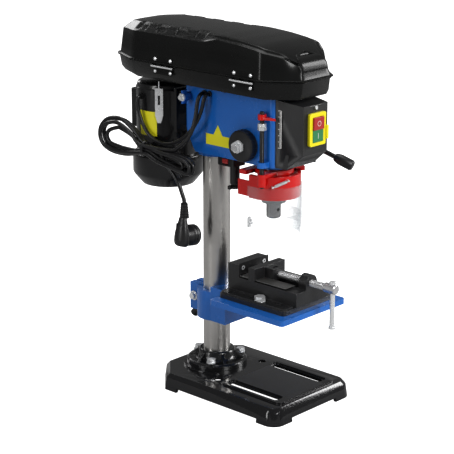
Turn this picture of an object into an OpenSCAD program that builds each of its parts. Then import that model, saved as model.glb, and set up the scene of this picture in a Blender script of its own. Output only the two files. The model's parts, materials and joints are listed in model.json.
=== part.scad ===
// Bench drill press with a machine vise on its table.
// Every length is in millimetres. X points to the operator's right, the front faces -Y, Z is up.
// The pieces are drawn about the column's axis, with the floor at z = 0. place() then moves
// the whole machine so that the middle of its footprint is the origin.

/* [Base and column] */
// Width of the base casting
base_w = 200; // [180:1:260]
// Distance from the column's axis to the base's front edge
base_front = 222; // [210:1:260]
// Distance from the column's axis to the base's rear edge
base_rear = 72; // [66:1:90]
// Height of the base's top surface
base_h = 29; // [24:1:40]
// Thickness of the base's walls
base_wall = 5; // [4:0.5:7]
// Depth of the chamfers at the two rear corners
base_chamfer = 44; // [20:1:50]
// Outer diameter of the column
column_d = 46; // [40:1:50]
// Wall of the column tube
column_wall = 3; // [2:0.5:5]
// Diameter of the column's foot flange
flange_d = 104; // [96:1:112]
// Distance between the two bench bolts
bench_bolt_pitch = 112; // [100:1:130]
// Diameter of the bench bolt holes
bench_bolt_d = 13; // [10:0.5:14]

/* [Head] */
// Height of the head casting's underside
head_z = 412; // [400:1:460]
// Height of the head casting
head_h = 116; // [116:1:140]
// Width of the head casting
head_w = 84; // [84:1:100]
// Distance from the column's axis to the spindle's axis
throat = 128; // [124:1:140]
// Diameter of the quill
quill_d = 40; // [38:1:42]
// Travel of the quill
quill_travel = 50; // [30:1:50]
// Diameter of the spindle between its bearings
spindle_d = 15; // [12:0.5:16]

/* [Motor and belt cover] */
// Distance from the column's axis to the motor's axis
motor_y = 114.6; // [110:0.2:125]
// Diameter of the motor's shell
motor_d = 108; // [100:1:108]
// Diameter of the motor's lower end cap
motor_cap_d = 122; // [116:1:124]
// Width of the belt cover at its seam
cover_w = 150; // [146:1:170]
// Height of the belt cover's lower pan
pan_h = 29; // [26:1:36]
// Height of the belt cover's lid
lid_h = 61; // [56:1:66]
// Thickness of the pan's and lid's walls
cover_wall = 1.6; // [1.2:0.2:3]
// How far the motor slides to slacken the belt
belt_slack = 12; // [6:1:13]

/* [Table and vise] */
// Side of the square table
table_w = 160; // [150:1:170]
// Height of the table's top
table_z = 178; // [170:1:190]
// Thickness of the table plate
table_t = 9.5; // [8:0.5:12]
// Width of the vise's jaws
jaw_w = 74; // [60:1:80]
// Depth of the vise's jaws
jaw_depth = 21; // [18:1:30]
// Opening between the jaws
jaw_gap = 22; // [10:1:40]
// Diameter of the vise screw
vise_screw_d = 12; // [10:1:14]

/* [Guard] */
// Outer radius of the clear shield
shield_r = 46.5; // [45:0.5:50]
// Height of the clear shield's lower edge
shield_z = 304; // [298:1:310]
// Length of the slot that the shield's extension slides in
shield_slot = 28; // [16:1:30]

/* [Hidden] */
$fn = 64;
// Play between pieces that move past each other
play = 0.3;
// Radial play of a running fit
fit = 0.05;
spindle_y = -throat;
head_top = head_z + head_h;
head_front = -throat - 36;
head_rear = 34;
column_r = column_d / 2;
quill_r = quill_d / 2;

// Base
work_w = 142;
work_rear = -74;
work_front = 14 - base_front;
work_h = 3;
slot_x = 55;
slot_w = 12;
hole_web = 2.4;
slot_l = 108;
slot_y = (work_rear + work_front) / 2 + 4;
bench_bolt_y = -55;
foot_len = 41;
skirt_z = 7;
flange_z = base_h + work_h;
flange_t = 10;
neck_d = 66;
neck_h = 26;
flange_bolt_r = 43;
flange_bolt_angles = [-150, -30, 90];

// Feed: the pinion runs in the rack that is cut into the back of the quill
rack_m = 1.25;
pinion_teeth = 15;
pinion_r = rack_m * pinion_teeth / 2;
tooth_half_h = 0.85 * rack_m;
rack_pitch = PI * rack_m;
rack_pitch_y = spindle_y + quill_r - 5.4;
feed_y = rack_pitch_y + pinion_r;
feed_z = head_z + 29.5;
feed_shaft_r = 8;
spoke_tilt = 20;
spoke_len = 118;
spoke_first = -155.7;
spoke_root_x = 70;
grip_r = 9;
grip_len = 34;

// Quill, spindle and chuck
quill_bottom = head_z - 28;
quill_top = head_z + 104;
nose_z = head_z - 8;
bearing_r = 17.5;
bearing_w = 11;
chuck_bottom = 317;
chuck_top = quill_bottom - 5;
chuck_r = 18;
sleeve_r = 19;
nose_r = 12;
spline_r = spindle_d / 2 - 1;

// Depth stop
depth_x = -(head_w / 2 + 9);
depth_y = spindle_y - 19;
depth_rod_r = 4;
lug_h = 9;

// Belt cover, measured from its floor
pan_z = head_top;
seam_z = pan_z + pan_h;
lid_top = seam_z + lid_h;
cover_front = -throat - 87;
cover_rear = motor_y + 68;
cover_half = cover_w / 2;
lip = 4;
hinge_z = seam_z - 4;
hinge_x = -cover_half - 3;
hinge_centres = [49, -127];
hinge_len = 46;
rivet_pitch = 35;

// Pulleys
step_radii = [46, 40.5, 35, 29.5, 24];
step_h = 11;
pulley_z = pan_z + 8;
belt_step = 2;
belt_w = 7.6;
belt_t = 5.6;
groove_w = 8.6;
groove_depth = 6.4;
groove_slope = 0.35;
motor_shaft_r = 7;

// Motor
motor_bottom = 334.6;
cap_top = 389;
shell_top = head_top - 14;
rod_x = 32;
rod_r = 5.5;
rod_z = head_top - 24;
plate_y = head_rear + belt_slack + 4;
plate_t = 6;
cap_box_w = 46;

// Table
table_y0 = -58;
table_collar_r = 34;
table_collar_z = 117;
table_collar_h = 51;
arm_front = -48;
lug_y = 40;
lug_z = table_collar_z + 29;
lug_slit = 3;
table_slot_x = 47;
table_slot_w = 10.5;
lever_x = 33;

// Vise
vise_z = table_z;
vise_flange_t = 11;
vise_w = 122;
vise_rear = -61;
vise_len = 144;
bed_z = vise_z + 34;
jaw_top = bed_z + jaw_depth;
fixed_jaw_t = 24;
moving_jaw_t = 14;
jaw_rear = vise_rear - fixed_jaw_t - jaw_gap;
vise_screw_z = bed_z + 10;
boss_y = -203;
screw_head_y = -255;
bar_r = 4.2;
bar_len = 76;
vise_bolt_y = -141;
vise_washer_r = 9.6;
guide_w = 20;

// Guard
hood_r = shield_r - 1.8 - 0.4;
hood_t = 2.5;
hood_z = 356;
hood_top = nose_z - 9.5;
shield_t = 1.8;
shield_top = hood_z + 20;
guard_pin_x = 50;
guard_pin_y = spindle_y + 24;
guard_arm_y = spindle_y + 39;
extension_r = shield_r - shield_t - play;
wing_z = 318;
extension_z = 290;

// Front housing and switch
housing_front = head_front - 50;
plate_z = head_z + 40;
plate_h = 53;
plate_w = 39;
button_w = 25;
button_h = 20;

// The laser pointer under the head
laser_x = -23;
laser_y = -63;
laser_z = head_z - 16;

// Cords: points along each route, about the column's axis
lead_r = 3.4;
lead_run = [
    [-45, -14, 514], [-49, -14, 514], [-54, -14, 511.5], [-58, -13.5, 505], [-60, -13, 496],
    [-62, -13, 484], [-64.5, -12, 470], [-67, -9, 456], [-69.5, -3, 443], [-72, 6, 432],
    [-74, 18, 422], [-75, 32, 415.5], [-75, 42, 412]
];
lead_tail = [
    [-75, 48, 392], [-75, 40, 386], [-75, 31, 379], [-75, 22, 370], [-74.5, 14.5, 359],
    [-74, 9.5, 347], [-73, 6, 337], [-73, 5, 332.5], [-73, 5, 330]
];
hank_x = -75;
hank_t = 21;
motor_cable_r = 3.2;
motor_cable_route = [
    [-45, -25, 514], [-49, -25, 514], [-53, -24.5, 511], [-55.5, -23.5, 504], [-56.5, -21, 492],
    [-57, -16, 479], [-57.5, -8, 465], [-58, 3, 451], [-59, 17, 438], [-60, 34, 427],
    [-60, 51, 421], [-60, 69, 419], [-60.5, 86, 422], [-61, 100, 430], [-61.5, 111, 443],
    [-62.5, 118, 458], [-64, 121.5, 472], [-64.5, 122.5, 482], [-63.5, 122.3, 489], [-61, 122, 492],
    [-58.4, 122, 492]
];
plug_x = -73;
plug_y = 5;
plug_z = 305;

// The middle of the machine's footprint, about the column's axis
reach_right = spoke_root_x - 2 + sin(spoke_tilt) * (spoke_len - 3) + cos(spoke_tilt) * grip_r;
reach_front = screw_head_y - 8;
centre_x = (reach_right - base_w / 2) / 2;
centre_y = (reach_front + cover_rear + lip) / 2;

module place() {
    translate([-centre_x, -centre_y, 0]) children();
}

// ---- shapes that repeat ----

// A rectangle with round corners, from two opposite corners
module round_rect(x0, y0, x1, y1, r) {
    translate([x0 + r, y0]) square([x1 - x0 - 2 * r, y1 - y0]);
    translate([x0, y0 + r]) square([x1 - x0, y1 - y0 - 2 * r]);
    for (x = [x0 + r, x1 - r], y = [y0 + r, y1 - r]) translate([x, y]) circle(r);
}

module round_block(x0, y0, z0, x1, y1, z1, r) {
    translate([0, 0, z0]) linear_extrude(z1 - z0) round_rect(x0, y0, x1, y1, r);
}

module block(x0, y0, z0, x1, y1, z1) {
    translate([x0, y0, z0]) cube([x1 - x0, y1 - y0, z1 - z0]);
}

// A rod from point a, of length h, along an axis
module rod_z(p, r, h) { translate(p) cylinder(r = r, h = h); }
module rod_x(p, r, h) { translate(p) rotate([0, 90, 0]) cylinder(r = r, h = h); }
module rod_y(p, r, h) { translate(p) rotate([-90, 0, 0]) cylinder(r = r, h = h); }

// A hexagon bolt head or nut, af across its flats, pointing up
module hex(af, h) { cylinder(d = af / cos(30), h = h, $fn = 6); }

// A tube swept along a list of points, with n sides
function unit(v) = v / norm(v);
function tangent(p, i) =
    unit(p[min(i + 1, len(p) - 1)] - p[max(i - 1, 0)]);
function ring(p, i, r, n, s) = [
    for (k = [0:n - 1]) let (t = tangent(p, i), a = unit(s - t * (s * t)), b = cross(t, a))
        p[i] + r * (a * cos(360 * k / n) + b * sin(360 * k / n))
];
module tube(p, r, n = 8, s = [-1, 0, 0.15]) {
    rings = [for (i = [0:len(p) - 1]) each ring(p, i, r, n, s)];
    last = len(p) - 1;
    sides = [
        for (i = [0:last - 1], k = [0:n - 1]) let (j = (k + 1) % n)
            [i * n + k, i * n + j, (i + 1) * n + j, (i + 1) * n + k]
    ];
    near_cap = [for (k = [0:n - 1]) n - 1 - k];
    far_cap = [for (k = [0:n - 1]) last * n + k];
    polyhedron(rings, concat([near_cap, far_cap], sides), convexity = 6);
}

// ---- base and column ----

// The base's outline, shrunk by d on every side
module base_outline(d) {
    h = base_w / 2 - d;
    c = base_chamfer - 0.4 * d;
    polygon([
        [-h, -60], [h, -60], [h, base_rear - d - c], [h - c, base_rear - d],
        [c - h, base_rear - d], [-h, base_rear - d - c]
    ]);
    round_rect(-h, d - base_front, h, -59, 22 - d / 2);
}

// The raised panel and the round pad under the flange, joined by a waist
module raised_outline() {
    offset(r = -26) offset(r = 26) {
        circle(r = flange_d / 2 + 6);
        round_rect(-work_w / 2, work_front, work_w / 2, work_rear, 9);
    }
}

module base_plate() color("#15161a") {
    wall = base_wall;
    difference() {
        union() {
            hull() {
                linear_extrude(2) base_outline(0);
                translate([0, 0, base_h - 8]) linear_extrude(1) base_outline(2.5);
                translate([0, 0, base_h - 1]) linear_extrude(1) base_outline(8);
            }
            translate([0, 0, base_h - 1]) linear_extrude(1 + work_h) raised_outline();
        }
        hull() {
            translate([0, 0, -1]) linear_extrude(1) base_outline(wall);
            translate([0, 0, base_h - wall - 1]) linear_extrude(1) base_outline(wall + 6);
        }
        // skirt cut away between the four feet
        block(-base_w / 2 - 1, foot_len - base_front, -1, base_w / 2 + 1, base_rear - base_chamfer - 26,
            skirt_z);
        block(foot_len + 3 - base_w / 2, -base_front - 1, -1, base_w / 2 - foot_len - 3, base_rear + 1,
            skirt_z);
        // two long slots with sunk rims
        for (s = [-1, 1]) {
            round_block(s * slot_x - slot_w / 2, slot_y - slot_l / 2, 0,
                        s * slot_x + slot_w / 2, slot_y + slot_l / 2, base_h + 9, slot_w / 2 - 0.1);
            round_block(s * slot_x - slot_w / 2 - 4, slot_y - slot_l / 2 - 3, base_h + 0.4,
                        s * slot_x + slot_w / 2 + 4, slot_y + slot_l / 2 + 3, base_h + 9, 6);
        }
        for (s = [-1, 1]) {
            translate([s * bench_bolt_pitch / 2, bench_bolt_y, 0]) cylinder(d = bench_bolt_d, h = 60);
            // the casting is thinned from below round its holes and slots
            translate([s * bench_bolt_pitch / 2, bench_bolt_y, 0])
                cylinder(d = bench_bolt_d + 6, h = base_h - hole_web);
            block(s * slot_x - slot_w / 2 - 3, slot_y - slot_l / 2 - 3, 0,
                s * slot_x + slot_w / 2 + 3, slot_y + slot_l / 2 + 3, base_h + 0.4 - hole_web);
        }
        for (a = flange_bolt_angles)
            rotate([0, 0, a]) translate([flange_bolt_r, 0, 0]) cylinder(r = 4.2, h = 60);
        cylinder(r = column_r - 1, h = 60);
    }
}

module column_flange() color("#101114") {
    difference() {
        union() {
            translate([0, 0, flange_z]) rotate_extrude() polygon([
                [column_r, 0], [flange_d / 2, 0], [flange_d / 2, flange_t - 3],
                [flange_d / 2 - 3, flange_t], [neck_d / 2 + 4, flange_t],
                [neck_d / 2, flange_t + 4], [neck_d / 2 - 2, neck_h - 2],
                [neck_d / 2 - 4, neck_h], [column_r, neck_h]
            ]);
            for (i = [0:5]) rotate([0, 0, 60 * i]) translate([column_r + 2, 2.5, flange_z + 4])
                rotate([90, 0, 0]) linear_extrude(5)
                    polygon([[0, 0], [flange_d / 2 - column_r - 6, 0], [flange_d / 2 - column_r - 6, 6],
                             [8, neck_h - 8], [0, neck_h - 8]]);
            for (a = flange_bolt_angles) rotate([0, 0, a])
                translate([flange_bolt_r, 0, flange_z]) cylinder(r = 9, h = flange_t + 2);
        }
        for (a = flange_bolt_angles) rotate([0, 0, a])
            translate([flange_bolt_r, 0, 0]) cylinder(r = 4.2, h = 90);
        translate([0, 0, flange_z - 1]) cylinder(r = column_r, h = neck_h + 2);
    }
}

module flange_bolts() color("#c8cacc") {
    for (a = flange_bolt_angles) rotate([0, 0, a]) translate([flange_bolt_r, 0, flange_z + flange_t + 2]) {
        cylinder(r = 7.8, h = 1.6);
        translate([0, 0, 1.6]) hex(13, 5.4);
        translate([0, 0, -flange_t - 12]) cylinder(r = 4, h = flange_t + 12);
    }
}

module column() color("#a9abad") {
    translate([0, 0, flange_z]) difference() {
        cylinder(r = column_r, h = head_top - 12 - flange_z);
        translate([0, 0, -1]) cylinder(r = column_r - column_wall, h = 700);
    }
}

// ---- head ----

module head_casting() color("#1f5bb5") {
    half = head_w / 2;
    wall = 7;
    difference() {
        union() {
            round_block(-half, head_front, head_z, half, head_rear, head_top, 9);
            rod_z([0, 0, nose_z], column_r + 8, 20);
            rod_z([0, spindle_y, nose_z], quill_r + 9, 20);
            // lug that the depth rod passes through
            block(depth_x, depth_y - 8, head_z + 1, -half + 2, depth_y + 8, head_z + 1 + lug_h);
            rod_z([depth_x, depth_y, head_z + 1], 8, lug_h);
            // bosses of the feed shaft
            rod_x([half - 1, feed_y, feed_z], 17, 5);
        }
        // the hollow of the casting, open under the belt cover
        difference() {
            round_block(wall - half, head_front + wall, head_z + wall,
                        half - wall, head_rear - wall, head_top + 1, 5);
            rod_z([0, 0, head_z], column_r + 7, 300);
            rod_z([0, spindle_y, head_z], quill_r + 7, 300);
            rod_x([-half, feed_y, feed_z], feed_shaft_r + 6, head_w);
            for (s = [-1, 1]) rod_y([s * rod_x, -24, rod_z], rod_r + 4, 70);
        }
        // lower rear corner cut back to the column's collar
        translate([0, head_rear - 26, head_z - 1]) rotate([90, 0, 90])
            translate([0, 0, -half - 1]) linear_extrude(head_w + 2)
                polygon([[0, -1], [40, -1], [40, 52], [26, 46], [9, 14]]);
        rod_z([0, 0, nose_z - 1], column_r, head_h - 3);
        rod_z([0, spindle_y, nose_z - 1], quill_r + fit, quill_top - nose_z + 5);
        rod_z([0, spindle_y, quill_top], 13, 100);
        rod_x([-half - 9, feed_y, feed_z], feed_shaft_r + fit, head_w + 20);
        // room for the pinion between the two sleeves
        rod_x([-16, feed_y, feed_z], pinion_r + 4, 32);
        for (s = [-1, 1]) rod_y([s * rod_x, -24 - belt_slack, rod_z], rod_r + fit, 90 + belt_slack);
        rod_z([depth_x, depth_y, head_z], depth_rod_r + play, lug_h + 9);
        // tapped hole of the belt-tension knob
        rod_x([-half - 1, 22, rod_z], 4, 10);
    }
}

module head_fasteners() color("#c9cbce") {
    half = head_w / 2;
    // set screws in the column's collar
    for (s = [-1, 1]) rod_y([s * 12, -column_r - 10, nose_z + 3.6], 2.6, 3);
    // housing screw
    rod_y([0, housing_front - 2.2, head_top - 15.5], 3.2, 2.2);
    // two nuts on the end of the feed shaft, over the spring cap
    for (i = [0, 1]) translate([-half - 16 - 5.2 * i, feed_y, feed_z]) rotate([0, -90, 0])
        difference() {
            hex(i == 0 ? 19 : 16, 5);
            translate([0, 0, -1]) cylinder(r = 5.3, h = 9);
        }
}

module housing_plan(d) {
    polygon([
        [-head_w / 2 + 4 + d, head_front + (d > 0 ? 1 : 0)], [-29 + d, housing_front + d],
        [29 - d, housing_front + d], [head_w / 2 - 4 - d, head_front + (d > 0 ? 1 : 0)]
    ]);
}

module housing_side(d) {
    polygon([
        [head_front + (d > 0 ? 1 : 0), head_z + 1 + d], [head_front - 20 + d, head_z + 1 + d],
        [housing_front + d, head_z + 26 + d], [housing_front + d, head_top - 11 - d],
        [head_front + (d > 0 ? 1 : 0), head_top - 5 - d]
    ]);
}

module housing_solid(d) {
    intersection() {
        translate([0, 0, head_z - 9]) linear_extrude(head_h + 20) housing_plan(d);
        translate([-60, 0, 0]) rotate([90, 0, 90]) linear_extrude(120) housing_side(d);
    }
}

module front_housing() color("#26272a") {
    difference() {
        union() {
            housing_solid(0);
            // moulded rib beside the spindle nose
            for (s = [-1, 1]) translate([s * (head_w / 2 - 5), head_front, 0]) rotate([90, 0, 90 - s * 9])
                translate([-22, head_z + 1, s > 0 ? -1 : -1]) linear_extrude(3)
                    polygon([[0, 0], [9, 0], [3, 24], [-3, 24]]);
        }
        housing_solid(2.5);
        // window for the switch
        block(-plate_w / 2 + 4, housing_front - 1, plate_z + 4, plate_w / 2 - 4, housing_front + 4,
            plate_z + plate_h - 4);
        rod_y([0, housing_front - 1, head_top - 15.5], 2.2, 6);
    }
}

module button_hole(z) {
    block(-button_w / 2 - play, housing_front - 9, z - play, button_w / 2 + play, housing_front + 20,
        z + button_h + play);
}

stop_z = plate_z + plate_h - 7 - button_h;
start_z = plate_z + 7 - 1;

module switch_plate() color("#e8d413") {
    difference() {
        union() {
            round_block_y(-plate_w / 2, housing_front - 5.5, plate_z, plate_w / 2, housing_front - 0.01,
                plate_z + plate_h, 4);
            block(-plate_w / 2 + 4.4, housing_front - 1, plate_z + 4.4, plate_w / 2 - 4.4,
                housing_front + 14, plate_z + plate_h - 4.4);
            // hinge lug for a padlock flap, beside the start button
            translate([plate_w / 2 - 1, 0, start_z + 2]) block(0, housing_front - 7.5, 0, 5.5,
                housing_front - 0.3, 22);
        }
        for (z = [stop_z, start_z]) difference() {
            button_hole(z);
            block(-50, housing_front + 10, 0, 50, housing_front + 40, 900);
        }
    }
}

module round_block_y(x0, y0, z0, x1, y1, z1, r) {
    translate([0, y1, 0]) rotate([90, 0, 0]) linear_extrude(y1 - y0) round_rect(x0, z0, x1, z1, r);
}

module button(z, reach) {
    round_block_y(-button_w / 2, housing_front - reach, z, button_w / 2, housing_front + 7, z + button_h, 2);
}

module stop_button() color("#c4312c") button(stop_z, 8);
module start_button() color("#2f8f5b") button(start_z, 6);

// ---- belt cover ----

// The cover's plan, shrunk by d on every side
module cover_plan(d) {
    h = cover_half - d;
    f = cover_front + d;
    r = cover_rear - d;
    n = cover_half - 33;
    polygon([
        [-h, f + n + 4 - d * 0.5], [-33, f], [33, f], [h, f + n + 4 - d * 0.5],
        [h, r - 60], [h - 28, r], [28 - h, r], [-h, r - 60]
    ]);
}

module pan_solid(d) {
    hull() {
        translate([0, 0, pan_z + d]) linear_extrude(1) cover_plan(7 + d);
        translate([0, 0, pan_z + 8]) linear_extrude(1) cover_plan(2.5 + d);
        translate([0, 0, seam_z - 1 + (d > 0 ? 2 : 0)]) linear_extrude(1) cover_plan(d);
    }
}

module pulley_pan() color("#131416") {
    difference() {
        union() {
            pan_solid(0);
            translate([0, 0, seam_z - 2]) linear_extrude(2) cover_plan(-lip / 2);
        }
        pan_solid(cover_wall);
        // the pulley hub and the motor shaft pass through the floor
        rod_z([0, spindle_y, pan_z - 1], 16, 9);
        translate([0, 0, pan_z - 1]) linear_extrude(9) {
            translate([0, motor_y]) circle(15);
            translate([0, motor_y - belt_slack - 3]) circle(15);
            translate([-15, motor_y - belt_slack - 3]) square([30, belt_slack + 3]);
        }
        // the lip is cut away at the hinges
        for (y = hinge_centres) block(-cover_half - 9, y - hinge_len / 2 - 1, seam_z - 9,
                                      -cover_half, y + hinge_len / 2 + 1, seam_z + 1);
    }
}

module lid_solid(d) {
    hull() {
        translate([0, 0, seam_z + 0.3 - (d > 0 ? 2 : 0)]) linear_extrude(1) cover_plan(d + 0.5);
        intersection() {
            translate([0, 0, seam_z + lid_h - 26 - d]) linear_extrude(1) cover_plan(d + 4);
            block(-99, cover_front + 6, 0, 99, 999, 999);
        }
        intersection() {
            translate([0, 0, seam_z + lid_h - 11 - d]) linear_extrude(1) cover_plan(d + 8);
            block(-99, cover_front + 22, 0, 99, 999, 999);
        }
        intersection() {
            translate([0, 0, lid_top - 3 - d]) linear_extrude(1) cover_plan(d + 16);
            block(-99, cover_front + 48, 0, 99, 999, 999);
        }
        intersection() {
            translate([0, 0, lid_top - 1 - d]) linear_extrude(1) cover_plan(d + 24);
            block(-99, cover_front + 90, 0, 99, 999, 999);
        }
    }
}

module cover_lid() color("#111214") {
    difference() {
        union() {
            lid_solid(0);
            translate([0, 0, seam_z + 0.3]) linear_extrude(2.4) cover_plan(-lip);
        }
        lid_solid(cover_wall);
        block(-99, -999, seam_z - 9, 99, 999, seam_z + 0.3);
        for (y = hinge_centres) block(-cover_half - 9, y - hinge_len / 2 - 1, seam_z - 1,
                                      0.5 - cover_half, y + hinge_len / 2 + 1, seam_z + 5);
    }
}

// One leaf of each hinge: a plate, its rivets and a share of the knuckles
module hinge_leaf(y, up, knuckles) {
    z_low = up ? seam_z + 0.6 : hinge_z - 13;
    z_high = up ? hinge_z + 15 : hinge_z - 2.2;
    rivet_z = hinge_z + (up ? 11.5 : -8.4);
    wall_x = -cover_half + (up ? 0.5 : 0);
    plate = 1.4;
    y0 = y - hinge_len / 2;
    knuckle = hinge_len / 5;
    block(wall_x - plate, y0 + 2, z_low, wall_x, y0 + hinge_len - 2, z_high);
    for (s = [-1, 1]) translate([wall_x - plate, y + s * rivet_pitch / 2, rivet_z]) rotate([0, -90, 0])
        cylinder(r1 = 2.6, r2 = 1.6, h = 1.4);
    for (k = knuckles) difference() {
        union() {
            rod_y([hinge_x, y0 + k * knuckle + 0.3, hinge_z], 2.4, knuckle - 0.6);
            block(hinge_x - (up ? 0.4 : 0), y0 + k * knuckle + 0.3, up ? hinge_z : hinge_z - 2.4,
                  -cover_half - (up ? 0.5 : 0), y0 + (k + 1) * knuckle - 0.3, up ? hinge_z + 6 : hinge_z);
        }
        rod_y([hinge_x, y0 - 9, hinge_z], up ? 1.2 + fit : 1, hinge_len + 18);
    }
}

module pan_hinge_leaves() color("#b9bbbe") {
    for (y = hinge_centres) {
        hinge_leaf(y, false, [0, 2, 4]);
        rod_y([hinge_x, y - hinge_len / 2 - 1, hinge_z], 1.2, hinge_len + 2);
    }
}

module lid_hinge_leaves() color("#b9bbbe") {
    for (y = hinge_centres) hinge_leaf(y, true, [1, 3]);
}

// ---- return spring, laser and grommets ----

module spring_cap() color("#1b1c1e") {
    half = head_w / 2;
    translate([-half, feed_y, feed_z]) rotate([0, -90, 0]) difference() {
        union() {
            cylinder(r = 25.5, h = 13);
            translate([0, 0, 13]) cylinder(r1 = 25.5, r2 = 23.5, h = 2);
            for (i = [0:23]) rotate([0, 0, 15 * i]) translate([25.2, 0, 1]) cylinder(r = 1, h = 11);
        }
        translate([0, 0, -1]) cylinder(r = 22.5, h = 12);
        cylinder(r = feed_shaft_r + play, h = 30);
    }
}

// A flat spiral spring, drawn as rings that nest with air between them
module return_spring() color("#7d8084") {
    half = head_w / 2;
    translate([-half - 9.6, feed_y, feed_z]) rotate([0, 90, 0]) {
        for (i = [0:3]) difference() {
            cylinder(r = 21.5 - 3 * i, h = 8);
            translate([0, 0, -1]) cylinder(r = 20.3 - 3 * i, h = 10);
        }
        translate([0, 10.9, 0]) cube([1.2, 10, 8]);
    }
}

module laser_box() color("#161719") {
    difference() {
        round_block(-34, -70, laser_z, -4, -33.5, head_z - 0.01, 3);
        block(-34.2, -58, laser_z + 2.4, -29.6, -45, laser_z + 13.6);
        rod_z([laser_x, laser_y, laser_z - 1], 4 + fit, 12);
    }
}

module laser_rocker() color("#d0342c") {
    intersection() {
        rod_y([-26.5, -57.6, laser_z + 8], 8.6, 12.2);
        block(-36, -57.6, laser_z + 4, -30.8, -45.4, laser_z + 12);
    }
}

module laser_head() color("#1d1e20") {
    translate([laser_x, laser_y, 0]) {
        rod_z([0, 0, laser_z - 0.3], 4, 9);
        rod_z([0, 0, laser_z - 30], 8, 29.7);
        rod_z([0, 0, laser_z - 38], 6, 8);
        rod_z([0, 0, laser_z - 36], 9.5, 3);
        block(-15, -2.5, laser_z - 37, 15, 2.5, laser_z - 31);
    }
}

module cable_grommets() color("#0f1011") {
    for (y = [lead_run[0].y, motor_cable_route[0].y]) rod_x([-head_w / 2 - 3, y, lead_run[0].z], 4.8, 3);
}

// ---- motor ----

module motor_shell() color("#161719") {
    translate([0, motor_y, 0]) difference() {
        union() {
            translate([0, 0, cap_top]) rotate_extrude() polygon([
                [0, 0], [motor_d / 2, 0], [motor_d / 2, shell_top - cap_top - 11],
                [motor_d / 2 - 1.5, shell_top - cap_top - 9], [motor_d / 2 - 3, shell_top - cap_top - 3],
                [motor_d / 2 - 8, shell_top - cap_top], [0, shell_top - cap_top]
            ]);
            // cable gland
            rod_x([-58, 7.4, 492], 5.5, 12);
        }
        translate([0, 0, cap_top + 3]) cylinder(r = motor_d / 2 - 3, h = shell_top - cap_top - 12);
        translate([0, 0, cap_top - 1]) cylinder(r = motor_shaft_r + 2, h = 300);
    }
}

module motor_end_cap() color("#232426") {
    r = motor_cap_d / 2;
    translate([0, motor_y, motor_bottom]) rotate_extrude() polygon([
        [0, 0], [r - 16, 0], [r - 2, 17], [r, 21], [r, cap_top - motor_bottom - 2],
        [r - 2, cap_top - motor_bottom], [0, cap_top - motor_bottom],
        [0, cap_top - motor_bottom - 8], [r - 4, cap_top - motor_bottom - 8],
        [r - 4, 21], [r - 18, 4], [0, 4]
    ]);
}

module capacitor_box() color("#1a1b1d") {
    difference() {
        round_block(-20, motor_y + 40, 425, cap_box_w - 20, motor_y + 71, 492, 4);
        rod_z([0, motor_y, 400], motor_d / 2, 130);
    }
}

module motor_plate() color("#1a1b1e") {
    difference() {
        union() {
            block(-44, plate_y, head_z + 26, 44, plate_y + plate_t, shell_top - 2);
            for (s = [-1, 1]) block(s * 30 - 6, plate_y + 3, head_z + 30, s * 30 + 6, motor_y - 34,
                shell_top - 10);
            for (s = [-1, 1]) rod_y([s * rod_x, -16, rod_z], rod_r, plate_y + 18);
        }
        rod_z([0, motor_y, 300], motor_d / 2, 400);
    }
}

// A zinc-plated slotted strap with a hook rod above it, and the end cap's four screws
module motor_fittings() color("#bcbec0") {
    translate([0, motor_y, 0]) rotate([0, 0, 210]) {
        difference() {
            union() {
                block(motor_d / 2 - 0.01, -7, 462, motor_d / 2 + 2.6, 7, 508);
                translate([motor_d / 2 - 0.01, 0, 462]) rotate([90, 0, 90])
                    linear_extrude(2.6) polygon([[-7, 0], [7, 0], [3, -13], [-3, -13]]);
            }
            block(motor_d / 2 - 1, -2, 480, motor_d / 2 + 4, 2, 496);
        }
        rod_z([motor_d / 2 + 1.3, 0, 507.5], 1.3, 12);
    }
    translate([0, motor_y, 0]) for (i = [0:3]) rotate([0, 0, 222 + 90 * i])
        translate([motor_cap_d / 2, 0, 382]) rotate([0, 90, 0]) cylinder(r = 3.4, h = 2);
}

module motor_shaft() color("#9a9c9f") {
    translate([0, motor_y, 0]) {
        rod_z([0, 0, cap_top + 14], motor_shaft_r, pulley_z + 5 * step_h - cap_top - 13);
        rod_z([0, 0, cap_top + 20], motor_d / 2 - 9, 70);
    }
}

// A V-belt pulley. radii lists its steps from the bottom up
module stepped_pulley(radii, bore) {
    rotate_extrude() polygon(concat(
        [[bore, 0]],
        [for (i = [0:len(radii) - 1]) let (z = i * step_h, r = radii[i], m = (step_h - groove_w) / 2) each [
            [r, z], [r, z + m],
            [r - groove_depth, z + m + groove_depth * groove_slope],
            [r - groove_depth, z + step_h - m - groove_depth * groove_slope],
            [r, z + step_h - m], [r, z + step_h]
        ]],
        [[bore, len(radii) * step_h]]
    ));
}

module motor_pulley() color("#b7b9bb") {
    up = [for (i = [4:-1:0]) step_radii[i]];
    translate([0, motor_y, pulley_z]) stepped_pulley(up, motor_shaft_r);
}

module spindle_pulley() color("#b7b9bb") {
    translate([0, spindle_y, 0]) {
        translate([0, 0, pulley_z]) stepped_pulley(step_radii, spline_r + play);
        difference() {
            rod_z([0, 0, quill_top + 5], 12, pulley_z - quill_top - 5);
            rod_z([0, 0, quill_top], spline_r + play, 80);
        }
    }
}

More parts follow.
